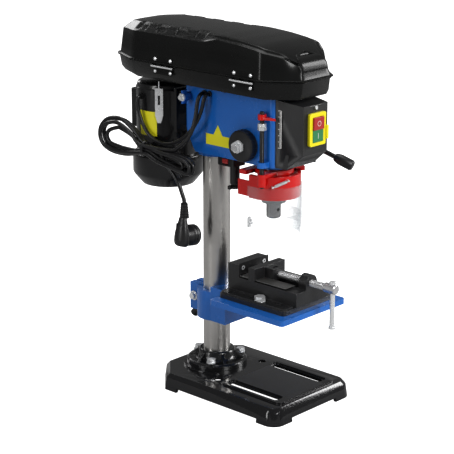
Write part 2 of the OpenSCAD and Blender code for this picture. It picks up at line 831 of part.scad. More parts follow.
// The belt runs in the middle step of both pulleys
module drive_belt() color("#17181a") {
    r = step_radii[belt_step] - 0.5;
    z = pulley_z + belt_step * step_h + step_h / 2;
    section = [
        [0, -belt_w / 2], [0, belt_w / 2], [-belt_t, belt_w / 2 - belt_t * groove_slope],
        [-belt_t, -belt_w / 2 + belt_t * groove_slope]
    ];
    shifted = [for (p = section) [p.x + r, p.y]];
    translate([0, motor_y, z]) rotate_extrude(angle = 180) polygon(shifted);
    translate([0, spindle_y, z]) rotate([0, 0, 180]) rotate_extrude(angle = 180) polygon(shifted);
    for (s = [0, 180]) translate([0, s == 0 ? motor_y : spindle_y, z]) rotate([0, 0, s]) rotate([90, 0, 0])
        linear_extrude(motor_y - spindle_y) polygon(shifted);
}

module tension_knob() color("#2a62b8") {
    translate([-head_w / 2, 22, rod_z]) rotate([0, -90, 0]) {
        translate([0, 0, -3.6]) cylinder(r = 4 - fit, h = 10);
        translate([0, 0, 1]) hex(13, 5);
        translate([0, 0, 6]) cylinder(r = 6, h = 4);
        translate([-11, -2, 8]) cube([22, 4, 9]);
        translate([0, 0, 8]) cylinder(r = 5, h = 9);
    }
}

// ---- quill, spindle and chuck ----

module quill() color("#9fa1a4") {
    difference() {
        rod_z([0, spindle_y, quill_bottom], quill_r, quill_top - quill_bottom);
        rod_z([0, spindle_y, quill_bottom - 1], 10, 300);
        for (z = [quill_bottom - 1, quill_top - bearing_w]) rod_z([0, spindle_y, z], bearing_r,
            bearing_w + 1);
        // rack: the gaps between its teeth
        for (k = [-1:15]) let (z = feed_z + k * rack_pitch)
            translate([-8, rack_pitch_y, z]) rotate([90, 0, 90]) linear_extrude(16) rack_gap();
        translate([-8, rack_pitch_y + tooth_half_h, feed_z - 10.8]) cube([16, 20, quill_travel + 21.6]);
    }
}

// The gap between two rack teeth, with y across the teeth. It is a little wider than half a pitch
module rack_gap() {
    w = rack_pitch / 4 + 0.16;
    t = tan(20);
    d = tooth_half_h + 0.5;
    polygon([[-d, -w + d * t], [-d, w - d * t], [d + 1, w + (d + 1) * t], [d + 1, -w - (d + 1) * t]]);
}

module spindle_bearings() color("#c4c6c8") {
    for (z = [quill_bottom, quill_top - bearing_w]) translate([0, spindle_y, z]) difference() {
        cylinder(r = bearing_r, h = bearing_w - 1);
        translate([0, 0, -1]) cylinder(r = spindle_d / 2 + fit, h = bearing_w + 2);
    }
}

module spindle() color("#b4b6b9") {
    translate([0, spindle_y, 0]) {
        rod_z([0, 0, quill_bottom + 0.01], spindle_d / 2, quill_top - quill_bottom);
        rod_z([0, 0, quill_top - 2], spline_r, pulley_z + 5 * step_h - quill_top + 6);
        rod_z([0, 0, quill_bottom - 4], 10, 3.7);
        translate([0, 0, quill_bottom - 26]) cylinder(r1 = 7, r2 = 7.9, h = 25);
    }
}

module chuck_body() color("#8d9094") {
    translate([0, spindle_y, 0]) difference() {
        union() {
            rod_z([0, 0, chuck_top - 16], chuck_r - 2, 15.7);
            rod_z([0, 0, chuck_bottom + 25], nose_r, chuck_top - chuck_bottom - 30);
            translate([0, 0, chuck_bottom]) rotate_extrude() polygon([
                [6.7, 0], [nose_r - 3, 0], [nose_r - 0.8, 1.2], [nose_r, 3], [nose_r, 26], [6.7, 26]
            ]);
        }
        translate([0, 0, quill_bottom - 26.3]) cylinder(r1 = 7, r2 = 8, h = 27);
        rod_z([0, 0, chuck_bottom - 1], 6.7, 34);
        for (i = [0:2]) rotate([0, 0, 120 * i + 20]) rod_x([6, 0, chuck_bottom + 15], 3, 12);
    }
}

module chuck_sleeve() color("#74777b") {
    translate([0, spindle_y, chuck_bottom + 26.4]) difference() {
        union() {
            // the key's teeth run round the lower edge
            linear_extrude(4) polygon([for (i = [0:59]) let (r = sleeve_r + (i % 2 == 0 ? 0.9 : -0.9))
                [r * cos(6 * i), r * sin(6 * i)]]);
            translate([0, 0, 3.5]) cylinder(r = sleeve_r + 0.6, h = 10.5);
        }
        translate([0, 0, -1]) cylinder(r = nose_r + fit, h = 40);
    }
}

module chuck_jaws() color("#5d6064") {
    translate([0, spindle_y, chuck_bottom - 1]) for (i = [0:2]) rotate([0, 0,
        120 * i - 40]) linear_extrude(30)
        polygon([[0.5, -0.35], [2.1, -2.6], [6.1, -2.6], [6.1, 2.6], [2.1, 2.6], [0.5, 0.35]]);
}

// ---- guard ----

// A U-shaped wall about the spindle, open towards the column
module u_wall(r, t, rear) {
    difference() {
        union() {
            circle(r);
            translate([-r, 0]) square([2 * r, rear]);
        }
        circle(r - t);
        translate([t - r, 0]) square([2 * (r - t), rear + 1]);
        translate([-r - 1, rear]) square([2 * r + 2, r]);
    }
}

module guard_collar() color("#c41a12") {
    z0 = nose_z - 9;
    difference() {
        union() {
            rod_z([0, spindle_y, quill_bottom + 2], quill_r + 7, z0 - quill_bottom - 1);
            rod_z([0, spindle_y, z0], quill_r + 13, 7);
            // arm and boss of the depth rod
            block(depth_x, depth_y - 6, z0, 0, depth_y + 6, z0 + 7);
            rod_z([depth_x, depth_y, nose_z - 22], 7, 20);
            // latch ear on the left, hinge ear on the right
            block(-49, guard_pin_y - 7, z0, 0, guard_pin_y + 7, z0 + 7);
            block(0, guard_pin_y - 7, z0, guard_pin_x, guard_pin_y + 7, z0 + 7);
            rod_z([guard_pin_x, guard_pin_y, z0], 7, 7);
            // clamp ears at the front right
            rotate_about_spindle(-35) block(28, -7, z0, 50, 7, z0 + 7);
        }
        rod_z([0, spindle_y, 300], quill_r, 200);
        rod_z([depth_x, depth_y, 300], depth_rod_r, 200);
        rod_z([guard_pin_x, guard_pin_y, z0 - 1], 3 + fit, 20);
        // the clamp's slit and the room behind the pinion side
        rotate_about_spindle(-35) block(18, -1, 300, 60, 1, 500);
    }
}

module rotate_about_spindle(a) {
    translate([0, spindle_y, 0]) rotate([0, 0, a]) children();
}

module guard_hood() color("#d01c14") {
    translate([0, spindle_y, 0]) {
        // the curtain, and its lower arms towards the column
        translate([0, 0, hood_z]) linear_extrude(hood_top - hood_z) u_wall(hood_r, hood_t, 15);
        translate([0, 0, hood_z + 2]) linear_extrude(26) u_wall(hood_r, hood_t, guard_arm_y - spindle_y);
        // the flange along the curtain's top
        translate([0, 0, hood_top - 3]) linear_extrude(3) u_wall(hood_r, 6, 15);
        // hinge arm and pin
        difference() {
            block(hood_r - hood_t, 18, hood_z + 6, guard_pin_x + 6, 31, hood_top);
            block(hood_r, 0, hood_z + 12, 99, 99, hood_top - 8);
        }
        rod_z([guard_pin_x, 24, hood_top - 6], 3, 16);
    }
}

module guard_spring() color("#d5d7d9") {
    // tension spring across the front left of the hood, with a hook at each end
    low = [-12, 380];
    high = [14, 390];
    rotate_about_spindle(-127) translate([hood_r, 0, 0]) {
        for (p = [low, high]) rod_x([-1.2, p.x, p.y], 1.6, 7.5);
        translate([4.4, low.x, low.y]) rotate([-atan2(high.x - low.x, high.y - low.y), 0, 0]) {
            cylinder(r = 1, h = norm(high - low));
            for (i = [0:9]) translate([0, 0, 4 + 2.1 * i]) cylinder(r = 2.6, h = 1.9);
        }
    }
}

module guard_shield() color("#dfe7ec", 0.3) {
    translate([0, spindle_y, 0]) difference() {
        translate([0, 0, shield_z]) linear_extrude(shield_top - shield_z) u_wall(shield_r, shield_t, 16);
        // slots for the wing screws
        for (s = [-1, 1]) block(s < 0 ? -60 : 20, 4.5, wing_z - 3, s < 0 ? -20 : 60, 10.5,
            wing_z + 3 + shield_slot);
    }
}

module shield_extension() color("#dfe7ec", 0.3) {
    translate([0, spindle_y, 0])
        union() {
            translate([0, 0, extension_z]) linear_extrude(hood_z - shield_slot - 1 - extension_z)
                u_wall(extension_r, shield_t, 16);
            rod_x([extension_r - 1, 7.5, wing_z], 2.4, 4);
        }
}

module wing_screw() color("#9b9da0") {
    translate([-extension_r, spindle_y + 7.5, wing_z]) rotate([0, -90, 0]) {
        translate([0, 0, 0.05]) cylinder(r = 2, h = 8);
        translate([0, 0, 2.6]) cylinder(r = 4, h = 4);
        translate([-8, -1.2, 4]) cube([16, 2.4, 6]);
    }
}

// ---- depth stop ----

module depth_rod() color("#17181a") {
    rod_z([depth_x, depth_y, nose_z - 25], depth_rod_r, head_z + 92 - nose_z + 25);
}

module depth_pointer() color("#d01c14") {
    difference() {
        union() {
            rod_z([depth_x, depth_y, head_z + 79], 7, 9);
            translate([0, 0, head_z + 80]) linear_extrude(4) polygon([
                [depth_x - 5, depth_y + 2], [depth_x - 4, depth_y - 8], [depth_x + 2, depth_y - 27],
                [depth_x + 5, depth_y - 8], [depth_x + 6, depth_y + 2]
            ]);
        }
        rod_z([depth_x, depth_y, head_z], depth_rod_r, 200);
    }
}

module depth_nuts() color("#d3d5d7") {
    translate([depth_x, depth_y, head_z + 62]) difference() {
        union() {
            hex(13, 5.5);
            translate([0, 0, 5.8]) cylinder(r = 7.2, h = 5.5);
        }
        translate([0, 0, -1]) cylinder(r = depth_rod_r + fit, h = 20);
    }
}

// ---- feed ----

// A pinion with involute flanks. Its teeth are a little thin, for backlash
function involute(rb, r) = tan(acos(min(1, rb / r))) * 180 / PI - acos(min(1, rb / r));
module pinion(h) {
    rb = pinion_r * cos(20);
    r_root = pinion_r - tooth_half_h - 0.35;
    r_tip = pinion_r + tooth_half_h;
    half = 90 / pinion_teeth + involute(rb, pinion_r) - 1.1;
    radii = [rb, pinion_r - 0.3, pinion_r + 0.4, r_tip];
    linear_extrude(h) polygon([
        for (i = [0:pinion_teeth - 1]) let (a = 360 * i / pinion_teeth) each concat(
            [[r_root * cos(a - half), r_root * sin(a - half)]],
            [for (r = radii) let (b = a - half + involute(rb, r)) [r * cos(b), r * sin(b)]],
            [for (k = [3:-1:0]) let (r = radii[k], b = a + half - involute(rb, r)) [r * cos(b), r * sin(b)]],
            [[r_root * cos(a + half), r_root * sin(a + half)]]
        )
    ]);
}

module feed_shaft() color("#a4a6a9") {
    half = head_w / 2;
    translate([0, feed_y, feed_z]) {
        difference() {
            rod_x([-half - 12, 0, 0], feed_shaft_r, spoke_root_x + half + 5);
            rod_x([-14, 0, 0], 30, 28);
        }
        rod_x([-15, 0, 0], 4.9, 30);
        // the pinion, with one tooth pointing straight at the quill
        rotate([0, 90, 0]) rotate([0, 0, 90]) translate([0, 0, -7.5]) rotate([0, 0, 180]) pinion(15);
        rod_x([-half - 29, 0, 0], 5, 18);
    }
}

module feed_hub() color("#1c1d20") {
    half = head_w / 2;
    translate([0, feed_y, feed_z]) {
        difference() {
            union() {
                rod_x([half + 4.4, 0, 0], 23, 12);
                rod_x([half + 16, 0, 0], 17, spoke_root_x - half - 8);
            }
            rod_x([0, 0, 0], feed_shaft_r, spoke_root_x - 6);
        }
        for (i = [0:2]) spoke(i, 8) cylinder(r = 4, h = spoke_len - grip_len - 8);
    }
}

// Places a spoke's child at distance d from the hub's centre
module spoke(i, d) {
    a = spoke_first + 120 * i;
    translate([spoke_root_x - 2, 0, 0]) rotate([a, 0, 0]) rotate([0, 0, -spoke_tilt])
        rotate([-90, 0, 0]) translate([0, 0, d]) children();
}

module feed_grips() color("#101113") {
    translate([0, feed_y, feed_z]) for (i = [0:2]) spoke(i, spoke_len - grip_len) rotate_extrude() polygon([
        [0, 0], [grip_r - 3, 0], [grip_r - 1.4, 4], [grip_r, 10], [grip_r, grip_len - 3],
        [grip_r - 2, grip_len], [0, grip_len]
    ]);
}

// ---- table ----

module drill_table() color("#1f5bb5") {
    y1 = table_y0 - table_w;
    h = table_w / 2;
    difference() {
        union() {
            round_block(-h, y1, table_z - table_t, h, table_y0, table_z, 6);
            rod_z([0, 0, table_collar_z], table_collar_r, table_collar_h);
            block(-31, arm_front, table_collar_z, 31, -14, table_z - 0.5);
            // the arm runs on under the plate as a wedge
            translate([-31, 0, 0]) rotate([90, 0, 90]) linear_extrude(62)
                polygon([[arm_front + 1, table_z - 1], [arm_front + 1, table_z - 26], [-66, table_z - 16],
                         [-150, table_z - table_t - 2], [-150, table_z - 1]]);
            // split clamp lugs behind the column
            block(-14, 20, table_collar_z + 4, 14, 50, table_collar_z + 52);
        }
        rod_z([0, 0, table_collar_z - 1], column_r + fit, 200);
        block(-lug_slit / 2, 10, table_collar_z - 1, lug_slit / 2, 60, table_z + 9);
        rod_x([-20, lug_y, lug_z], 4.2, 40);
        // two slots for the vise's bolts, and a hole under the spindle
        for (s = [-1, 1]) round_block(s * table_slot_x - table_slot_w / 2, -195, 100,
                                      s * table_slot_x + table_slot_w / 2, -92, 300, table_slot_w / 2 - 0.05);
        rod_z([0, spindle_y, 100], 9, 200);
    }
}

module table_clamp_bolt() color("#c9cbce") {
    difference() {
        union() {
            rod_x([-16.5, lug_y, lug_z], 8.5, 2.4);
            rod_x([-22, lug_y, lug_z], 5.6, 5.6);
            rod_x([-20, lug_y, lug_z], 4, lever_x + 22);
        }
    }
}

module table_lever() color("#18191b") {
    translate([0, lug_y, lug_z]) difference() {
        union() {
            rod_x([14.4, 0, 0], 9, lever_x - 5);
            translate([lever_x, 0, 0]) rotate([39.5, 0, 0]) rotate([180, 0, 0]) {
                cylinder(r = 4, h = 56);
                translate([0, 0, 50]) cylinder(r1 = 6, r2 = 7.5, h = 22);
            }
        }
        rod_x([0, 0, 0], 4 + fit, 80);
    }
}

// ---- vise ----

module vise_base() color("#1a1b1d") {
    x1 = jaw_w / 2;
    y_end = vise_rear - vise_len;
    difference() {
        union() {
            round_block(-vise_w / 2, y_end, vise_z, vise_w / 2, vise_rear, vise_z + vise_flange_t - 3, 7);
            round_block(-vise_w / 2 + 2, y_end + 2, vise_z, vise_w / 2 - 2, vise_rear - 2,
                vise_z + vise_flange_t, 6);
            block(-x1, y_end - 6, vise_z + vise_flange_t - 1, x1, vise_rear, bed_z);
            block(-x1, vise_rear - fixed_jaw_t, bed_z - 1, x1, vise_rear, jaw_top);
            // screw boss
            translate([-13, boss_y - 8, bed_z - 1]) cube([26, 16, 11]);
            rod_y([0, boss_y - 8, vise_screw_z], 14, 16);
        }
        // guideway down the middle of the bed
        block(-guide_w / 2, boss_y + 14, vise_z + vise_flange_t + 6, guide_w / 2,
            vise_rear - fixed_jaw_t, bed_z + 0.1);
        // groove round the bed, in the flange
        for (s = [-1, 1]) block(s < 0 ? -vise_w / 2 + 4 : x1 + 0.6, y_end + 18, vise_z + vise_flange_t - 3,
                                s < 0 ? -x1 - 0.6 : vise_w / 2 - 4, vise_rear - 14, vise_z + 99);
        for (s = [-1, 1]) round_block(s * table_slot_x - 5, vise_bolt_y - 14, 0, s * table_slot_x + 5,
            vise_bolt_y + 14, vise_z + 30, 4.9);
        rod_y([0, boss_y - 20, vise_screw_z], vise_screw_d / 2 + fit, 40);
    }
}

module vise_bolts() color("#cfd1d3") {
    z = vise_z + vise_flange_t - 3;
    for (s = [-1, 1]) translate([s * table_slot_x, vise_bolt_y, 0]) {
        rod_z([0, 0, z], vise_washer_r, 1.8);
        translate([0, 0, z + 1.8]) hex(16, 7.5);
        rod_z([0, 0, table_z - table_t - 14], 4, table_t + vise_flange_t + 13);
        translate([0, 0, table_z - table_t - 8]) hex(14, 6.4);
        rod_z([0, 0, table_z - table_t - 1.6], vise_washer_r, 1.6);
    }
}

module vise_jaw() color("#1c1d1f") {
    y1 = jaw_rear;
    difference() {
        union() {
            block(-jaw_w / 2 - 1, y1 - moving_jaw_t, bed_z + play, jaw_w / 2 + 1, y1, jaw_top + 1);
            block(-13, y1 - moving_jaw_t - 19, bed_z + play, 13, y1 - moving_jaw_t + 1, jaw_top - 1);
            // tongue in the guideway
            block(-guide_w / 2 + play, y1 - moving_jaw_t - 10, bed_z - 9, guide_w / 2 - play, y1 - 1,
                bed_z + 1);
        }
        // socket of the screw's end
        rod_y([0, y1 - moving_jaw_t - 20, vise_screw_z], 5 + play, 14);
        block(-6.3, y1 - moving_jaw_t - 13, vise_screw_z - 6.3, 6.3, y1 - moving_jaw_t - 8, jaw_top + 5);
    }
}

module vise_screw() color("#c2c4c7") {
    y1 = jaw_rear - moving_jaw_t;
    difference() {
        union() {
            rod_y([0, y1 - 12.6, vise_screw_z], 6, 4.2);
            rod_y([0, y1 - 20, vise_screw_z], 5, 12);
            rod_y([0, screw_head_y, vise_screw_z], vise_screw_d / 2, y1 - 19.4 - screw_head_y);
            rod_y([0, screw_head_y - 8, vise_screw_z], 8, 24);
        }
        rod_z([0, screw_head_y, vise_screw_z - 20], bar_r + fit, 40);
    }
}

module vise_bar() color("#c9cbce") {
    z_top = vise_screw_z + 8.4;
    translate([0, screw_head_y, 0]) {
        rod_z([0, 0, z_top - bar_len + 3], bar_r, bar_len - 2);
        rod_z([0, 0, z_top], 5.6, 4);
        rod_z([0, 0, z_top - bar_len], 5.6, 4);
    }
}

// ---- cords ----

module mains_lead() color("#121315") {
    tube(lead_run, lead_r);
    tube(lead_tail, lead_r);
}

// The tied hank: a wide loop at the back, a waist at the tie and small loops in front
module lead_hank() color("#121315") {
    translate([hank_x - hank_t / 2, 0, 0]) rotate([90, 0, 90]) linear_extrude(hank_t) {
        hull() {
            translate([180, 418]) circle(r = 33, $fn = 32);
            translate([92, 411]) circle(r = 15, $fn = 32);
        }
        hull() {
            translate([92, 411]) circle(r = 15, $fn = 32);
            translate([-10, 393]) circle(r = 16, $fn = 32);
        }
    }
}

module mains_plug() color("#1a1b1d") {
    translate([plug_x, plug_y, 0]) {
        // strain relief
        translate([0, 0, plug_z]) cylinder(r1 = 6.2, r2 = 4.6, h = 25);
        // body, hanging with its face turned towards the column
        translate([0, 0, plug_z]) rotate([0, 0, 90]) rotate([8, 0, 0]) {
            translate([0, 0, -24]) cylinder(r1 = 15, r2 = 7.5, h = 25);
            translate([0, 0, -48]) cylinder(r = 15, h = 24.5);
            translate([0, -16, -33]) rotate([90, 0, 0]) cylinder(r = 18, h = 12);
            translate([0, 0, -33]) rotate([90, 0, 0]) cylinder(r1 = 13, r2 = 18, h = 17);
        }
    }
}

module motor_cable() color("#121315") {
    tube(motor_cable_route, motor_cable_r);
}

place() base_plate();
place() column_flange();
place() flange_bolts();
place() column();
place() head_casting();
place() head_fasteners();
place() front_housing();
place() switch_plate();
place() stop_button();
place() start_button();
place() pulley_pan();
place() pan_hinge_leaves();
place() cover_lid();
place() lid_hinge_leaves();
place() spring_cap();
place() return_spring();
place() laser_box();
place() laser_rocker();
place() laser_head();
place() cable_grommets();
place() motor_shell();
place() motor_end_cap();
place() capacitor_box();
place() motor_plate();
place() motor_fittings();
place() motor_shaft();
place() motor_pulley();
place() spindle_pulley();
place() drive_belt();
place() tension_knob();
place() quill();
place() spindle_bearings();
place() spindle();
place() chuck_body();
place() chuck_sleeve();
place() chuck_jaws();
place() guard_collar();
place() guard_hood();
place() guard_spring();
place() guard_shield();
place() shield_extension();
place() wing_screw();
place() depth_rod();
place() depth_pointer();
place() depth_nuts();
place() feed_shaft();
place() feed_hub();
place() feed_grips();
place() drill_table();
place() table_clamp_bolt();
place() table_lever();
place() vise_base();
place() vise_bolts();
place() vise_jaw();
place() vise_screw();
place() vise_bar();
place() mains_lead();
place() lead_hank();
place() mains_plug();
place() motor_cable();
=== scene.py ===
# %% [markdown]
# # A bench drill press, finished in Blender
# The frame is a machine that was designed elsewhere: castings, tubes, bolts and hinges that already fit and
# move. This lesson keeps every one of those sizes. It adds what a design model lacks: paint with a soft
# orange peel, ground steel, a rubber lead that hangs under its own weight, screw threads, and the small
# rounded edges that catch the light.

# %% Tools and the frame
import json
import math

import bmesh
import bpy
import numpy as np
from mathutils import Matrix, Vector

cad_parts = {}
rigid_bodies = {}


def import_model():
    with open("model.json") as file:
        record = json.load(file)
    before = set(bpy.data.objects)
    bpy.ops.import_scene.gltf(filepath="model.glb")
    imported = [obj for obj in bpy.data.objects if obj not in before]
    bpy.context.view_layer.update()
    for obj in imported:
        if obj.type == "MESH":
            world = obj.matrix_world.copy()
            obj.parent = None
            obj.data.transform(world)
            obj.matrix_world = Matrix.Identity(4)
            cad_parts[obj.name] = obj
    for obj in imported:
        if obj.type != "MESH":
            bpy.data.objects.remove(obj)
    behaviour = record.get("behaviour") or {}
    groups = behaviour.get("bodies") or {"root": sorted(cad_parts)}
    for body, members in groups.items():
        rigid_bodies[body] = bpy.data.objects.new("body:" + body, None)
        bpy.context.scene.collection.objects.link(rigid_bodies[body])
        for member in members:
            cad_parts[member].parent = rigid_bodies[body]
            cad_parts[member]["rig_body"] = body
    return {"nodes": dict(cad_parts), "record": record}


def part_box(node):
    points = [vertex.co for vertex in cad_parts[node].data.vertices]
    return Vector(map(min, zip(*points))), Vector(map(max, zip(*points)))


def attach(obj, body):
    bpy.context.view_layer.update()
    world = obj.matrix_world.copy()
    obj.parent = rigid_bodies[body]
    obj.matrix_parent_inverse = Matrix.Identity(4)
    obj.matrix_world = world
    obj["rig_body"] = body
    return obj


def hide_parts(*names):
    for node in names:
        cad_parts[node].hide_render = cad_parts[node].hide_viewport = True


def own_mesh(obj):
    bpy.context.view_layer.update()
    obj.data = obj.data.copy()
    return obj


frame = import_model()
nodes = frame["nodes"]
body_of_node = {n: o["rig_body"] for n, o in nodes.items()}
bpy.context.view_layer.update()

# %% [markdown]
# Every place below is measured from the column's axis, in millimetres, because that is how a fitter would
# measure this machine. One function turns such a place into the frame's metres, so the frame itself stays
# the only authority on where the column stands.

# %% Places about the column
low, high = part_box("column")
AXIS = np.array([(low.x + high.x) / 2, (low.y + high.y) / 2, 0.0])
MM = 0.001


def to_frame(points):
    """Points in millimetres about the column's axis, as an array of metres in the frame."""
    return np.asarray(points, float) * MM + AXIS


def node_box(node):
    """A node's low and high corners, in millimetres about the column's axis."""
    a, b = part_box(node)
    return (np.array(a) - AXIS) / MM, (np.array(b) - AXIS) / MM


print("column axis at", AXIS.round(4))

# %% [markdown]
# ## Camera, floor and light
# A long lens flattens a machine the way a catalogue picture does. The camera stands in front and to the
# operator's left, a little above the work, with no shift.

# %% Camera
scene = bpy.context.scene
camera = bpy.data.objects.new("camera", bpy.data.cameras.new("camera"))
camera.data.sensor_width = 36.0
camera.data.lens = 124.87
camera.data.clip_end = 100.0
camera.location = to_frame([-1860.8, -1761.4, 1035.3])
camera.rotation_euler = (math.radians(90 - 16.55), 0.0, math.radians(-46.96))
scene.collection.objects.link(camera)
scene.camera = camera
scene.view_settings.view_transform = "Standard"
scene.view_settings.exposure = 0.5
scene.view_settings.gamma = 0.84
print("camera at", [round(v, 3) for v in camera.location])

# %% [markdown]
# Black gloss paint shows nothing but reflections, so the light is what draws it. Big soft panels give long
# clean highlights down the column and along the cover's edge. The surroundings are dimmer than the panels,
# which keeps the black parts black.

# %% Soft panels of light
def light_panel(name, place, aim, size, power):
    """An area light in metres, turned so that its -Z axis points from place to aim."""
    lamp = bpy.data.objects.new(name, bpy.data.lights.new(name, "AREA"))
    lamp.data.shape = "RECTANGLE"
    lamp.data.size, lamp.data.size_y = size
    lamp.data.energy = power
    lamp.location = place
    direction = np.array(aim) - np.array(place)
    yaw = math.atan2(direction[1], direction[0]) - math.pi / 2
    pitch = math.atan2(direction[2], math.hypot(direction[0], direction[1])) + math.pi / 2
    lamp.rotation_euler = (pitch, 0.0, yaw)
    lamp.visible_camera = False
    scene.collection.objects.link(lamp)
    return lamp


middle = (0.0, 0.0, 0.32)
light_panel("key_panel", (-0.5, -2.6, 1.7), middle, (0.8, 1.5), 44)
light_panel("left_panel", (-2.5, 0.6, 1.1), middle, (0.5, 1.8), 16)
light_panel("right_panel", (2.2, -1.5, 1.3), middle, (0.7, 1.6), 34)
light_panel("top_panel", (0.1, 0.3, 2.6), middle, (1.5, 1.5), 22)
light_panel("back_panel", (0.6, 2.4, 1.6), middle, (1.2, 1.2), 14)


def world_light(strength, seen):
    """A pale surround. Its strength for lighting differs from the one that the camera sees."""
    world = bpy.data.worlds.new("surround")
    world.use_nodes = True
    tree = world.node_tree
    shade = tree.nodes["Background"]
    shade.inputs["Color"].default_value = (1.0, 1.0, 1.0, 1.0)
    shade.inputs["Strength"].default_value = strength
    sky = tree.nodes.new("ShaderNodeBackground")
    sky.inputs["Strength"].default_value = seen
    path = tree.nodes.new("ShaderNodeLightPath")
    mix = tree.nodes.new("ShaderNodeMixShader")
    tree.links.new(path.outputs["Is Camera Ray"], mix.inputs["Fac"])
    tree.links.new(shade.outputs[0], mix.inputs[1])
    tree.links.new(sky.outputs[0], mix.inputs[2])
    tree.links.new(mix.outputs[0], tree.nodes["World Output"].inputs["Surface"])
    scene.world = world


world_light(0.17, 1.0)

# %% [markdown]
# ## Making meshes from arrays
# Each new piece below is a surface worked out with numpy: a grid of points from two parameters, turned into
# a mesh in one call. The grid's rows run along the piece and its columns run round it.

# %% Grids, revolved shapes and swept tubes
def grid_faces(rows, cols, wrap):
    """The quads between neighbouring rows and columns of points. wrap joins the last column to the first."""
    i, j = np.meshgrid(np.arange(rows - 1), np.arange(cols if wrap else cols - 1), indexing="ij")
    k = (j + 1) % cols
    quads = np.stack([i * cols + j, i * cols + k, (i + 1) * cols + k, (i + 1) * cols + j], -1)
    return quads.reshape(-1, 4)


def make_mesh(name, points, faces, sharp=38.0, closed=True):
    """A mesh in the frame from millimetre points. Doubles merge, and a closed one's faces turn outwards."""
    mesh = bpy.data.meshes.new(name)
    mesh.from_pydata(to_frame(points).tolist(), [], [[int(v) for v in face] for face in faces])
    soup = bmesh.new()
    soup.from_mesh(mesh)
    bmesh.ops.remove_doubles(soup, verts=soup.verts, dist=1e-6)
    bmesh.ops.dissolve_degenerate(soup, edges=soup.edges, dist=1e-7)
    if closed:
        bmesh.ops.recalc_face_normals(soup, faces=soup.faces)
    soup.to_mesh(mesh)
    soup.free()
    mesh.shade_smooth()
    mesh.set_sharp_from_angle(angle=math.radians(sharp))
    return mesh


def joined(parts):
    """One list of points and one of faces from several (points, faces) pairs."""
    points, faces, count = [], [], 0
    for p, f in parts:
        points.append(np.asarray(p, float))
        faces += [[int(v) + count for v in face] for face in f]
        count += len(p)
    return np.concatenate(points), faces


def basis(axis):
    """Two unit vectors square to axis, and axis itself made a unit vector."""
    w = np.asarray(axis, float) / np.linalg.norm(axis)
    u = np.cross(w, [0.0, 0.0, 1.0] if abs(w[2]) < 0.9 else [1.0, 0.0, 0.0])
    u /= np.linalg.norm(u)
    return u, np.cross(w, u), w


def revolved(profile, place, axis, n=48):
    """Turns a profile of (radius, height) points about an axis: place + h*w + r*(u cos t + v sin t)."""
    r, h = np.asarray(profile, float).T
    t = np.linspace(0, 2 * math.pi, n, endpoint=False)
    u, v, w = basis(axis)
    ring = np.outer(np.cos(t), u) + np.outer(np.sin(t), v)
    points = np.asarray(place, float) + h[:, None, None] * w + r[:, None, None] * ring[None]
    return points.reshape(-1, 3), grid_faces(len(r), n, True).tolist()


def smooth_path(points, steps):
    """A Catmull-Rom curve through the points, sampled steps times between each pair."""
    p = np.asarray(points, float)
    p = np.concatenate([[2 * p[0] - p[1]], p, [2 * p[-1] - p[-2]]])
    t = np.linspace(0, 1, steps, endpoint=False)[None, :, None]
    a, b, c, d = (p[k:len(p) - 3 + k, None, :] for k in range(4))
    bend, twist = 2 * a - 5 * b + 4 * c - d, 3 * b - a - 3 * c + d
    curve = 0.5 * (2 * b + (c - a) * t + bend * t ** 2 + twist * t ** 3)
    return np.concatenate([curve.reshape(-1, 3), p[-2:-1]])


def path_length(path):
    """The length of a path of points, in the path's own units."""
    return float(np.linalg.norm(np.diff(path, axis=0), axis=1).sum())


def box_part(low_corner, high_corner):
    """The eight corners and six faces of a block."""
    a, b = np.asarray(low_corner, float), np.asarray(high_corner, float)
    corners = np.array([[x, y, z] for z in (a[2], b[2]) for y in (a[1], b[1]) for x in (a[0], b[0])])
    faces = [[0, 2, 3, 1], [4, 5, 7, 6], [0, 1, 5, 4], [2, 6, 7, 3], [0, 4, 6, 2], [1, 3, 7, 5]]
    return corners, faces


print("helpers ready")

# %% [markdown]
# ## Shared effects
# Four effects turn up in almost every finish, so each is a node group that is built once: a cloudy
# variation in roughness from handling, the orange peel of sprayed paint, the fine lines that grinding
# leaves, and a thin paler line along edges that is partly wear and partly a painted highlight.

# %% Node group helper
def new_group(name, inputs, outputs):
    """A shader group with float inputs {name: default} and typed outputs {name: socket type}."""
    group = bpy.data.node_groups.new(name, "ShaderNodeTree")
    for label, value in inputs.items():
        socket = group.interface.new_socket(label, in_out="INPUT", socket_type="NodeSocketFloat")
        socket.default_value = value
    for label, kind in outputs.items():
        group.interface.new_socket(label, in_out="OUTPUT", socket_type=kind)
    return group, group.nodes.new("NodeGroupInput"), group.nodes.new("NodeGroupOutput")


def add(tree, kind, links=(), **values):
    """A node of that kind with its inputs set by name. links are (socket, input name) pairs."""
    node = tree.nodes.new(kind)
    for label, value in values.items():
        target = label.replace("_", " ")
        if target in node.inputs:
            node.inputs[target].default_value = value
        else:
            setattr(node, label, value)
    for socket, label in links:
        tree.links.new(socket, node.inputs[label])
    return node


def scaled_noise(tree, scale_socket, stretch=(1, 1, 1), detail=3.0, rough=0.55):
    """Noise on Object coordinates, in cycles per metre, stretched along the piece's own axes."""
    place = tree.nodes.new("ShaderNodeTexCoord")
    mapping = tree.nodes.new("ShaderNodeMapping")
    mapping.inputs["Scale"].default_value = stretch
    noise = tree.nodes.new("ShaderNodeTexNoise")
    noise.inputs["Detail"].default_value = detail
    noise.inputs["Roughness"].default_value = rough
    tree.links.new(place.outputs["Object"], mapping.inputs["Vector"])
    tree.links.new(mapping.outputs[0], noise.inputs["Vector"])
    tree.links.new(scale_socket, noise.inputs["Scale"])
    return noise


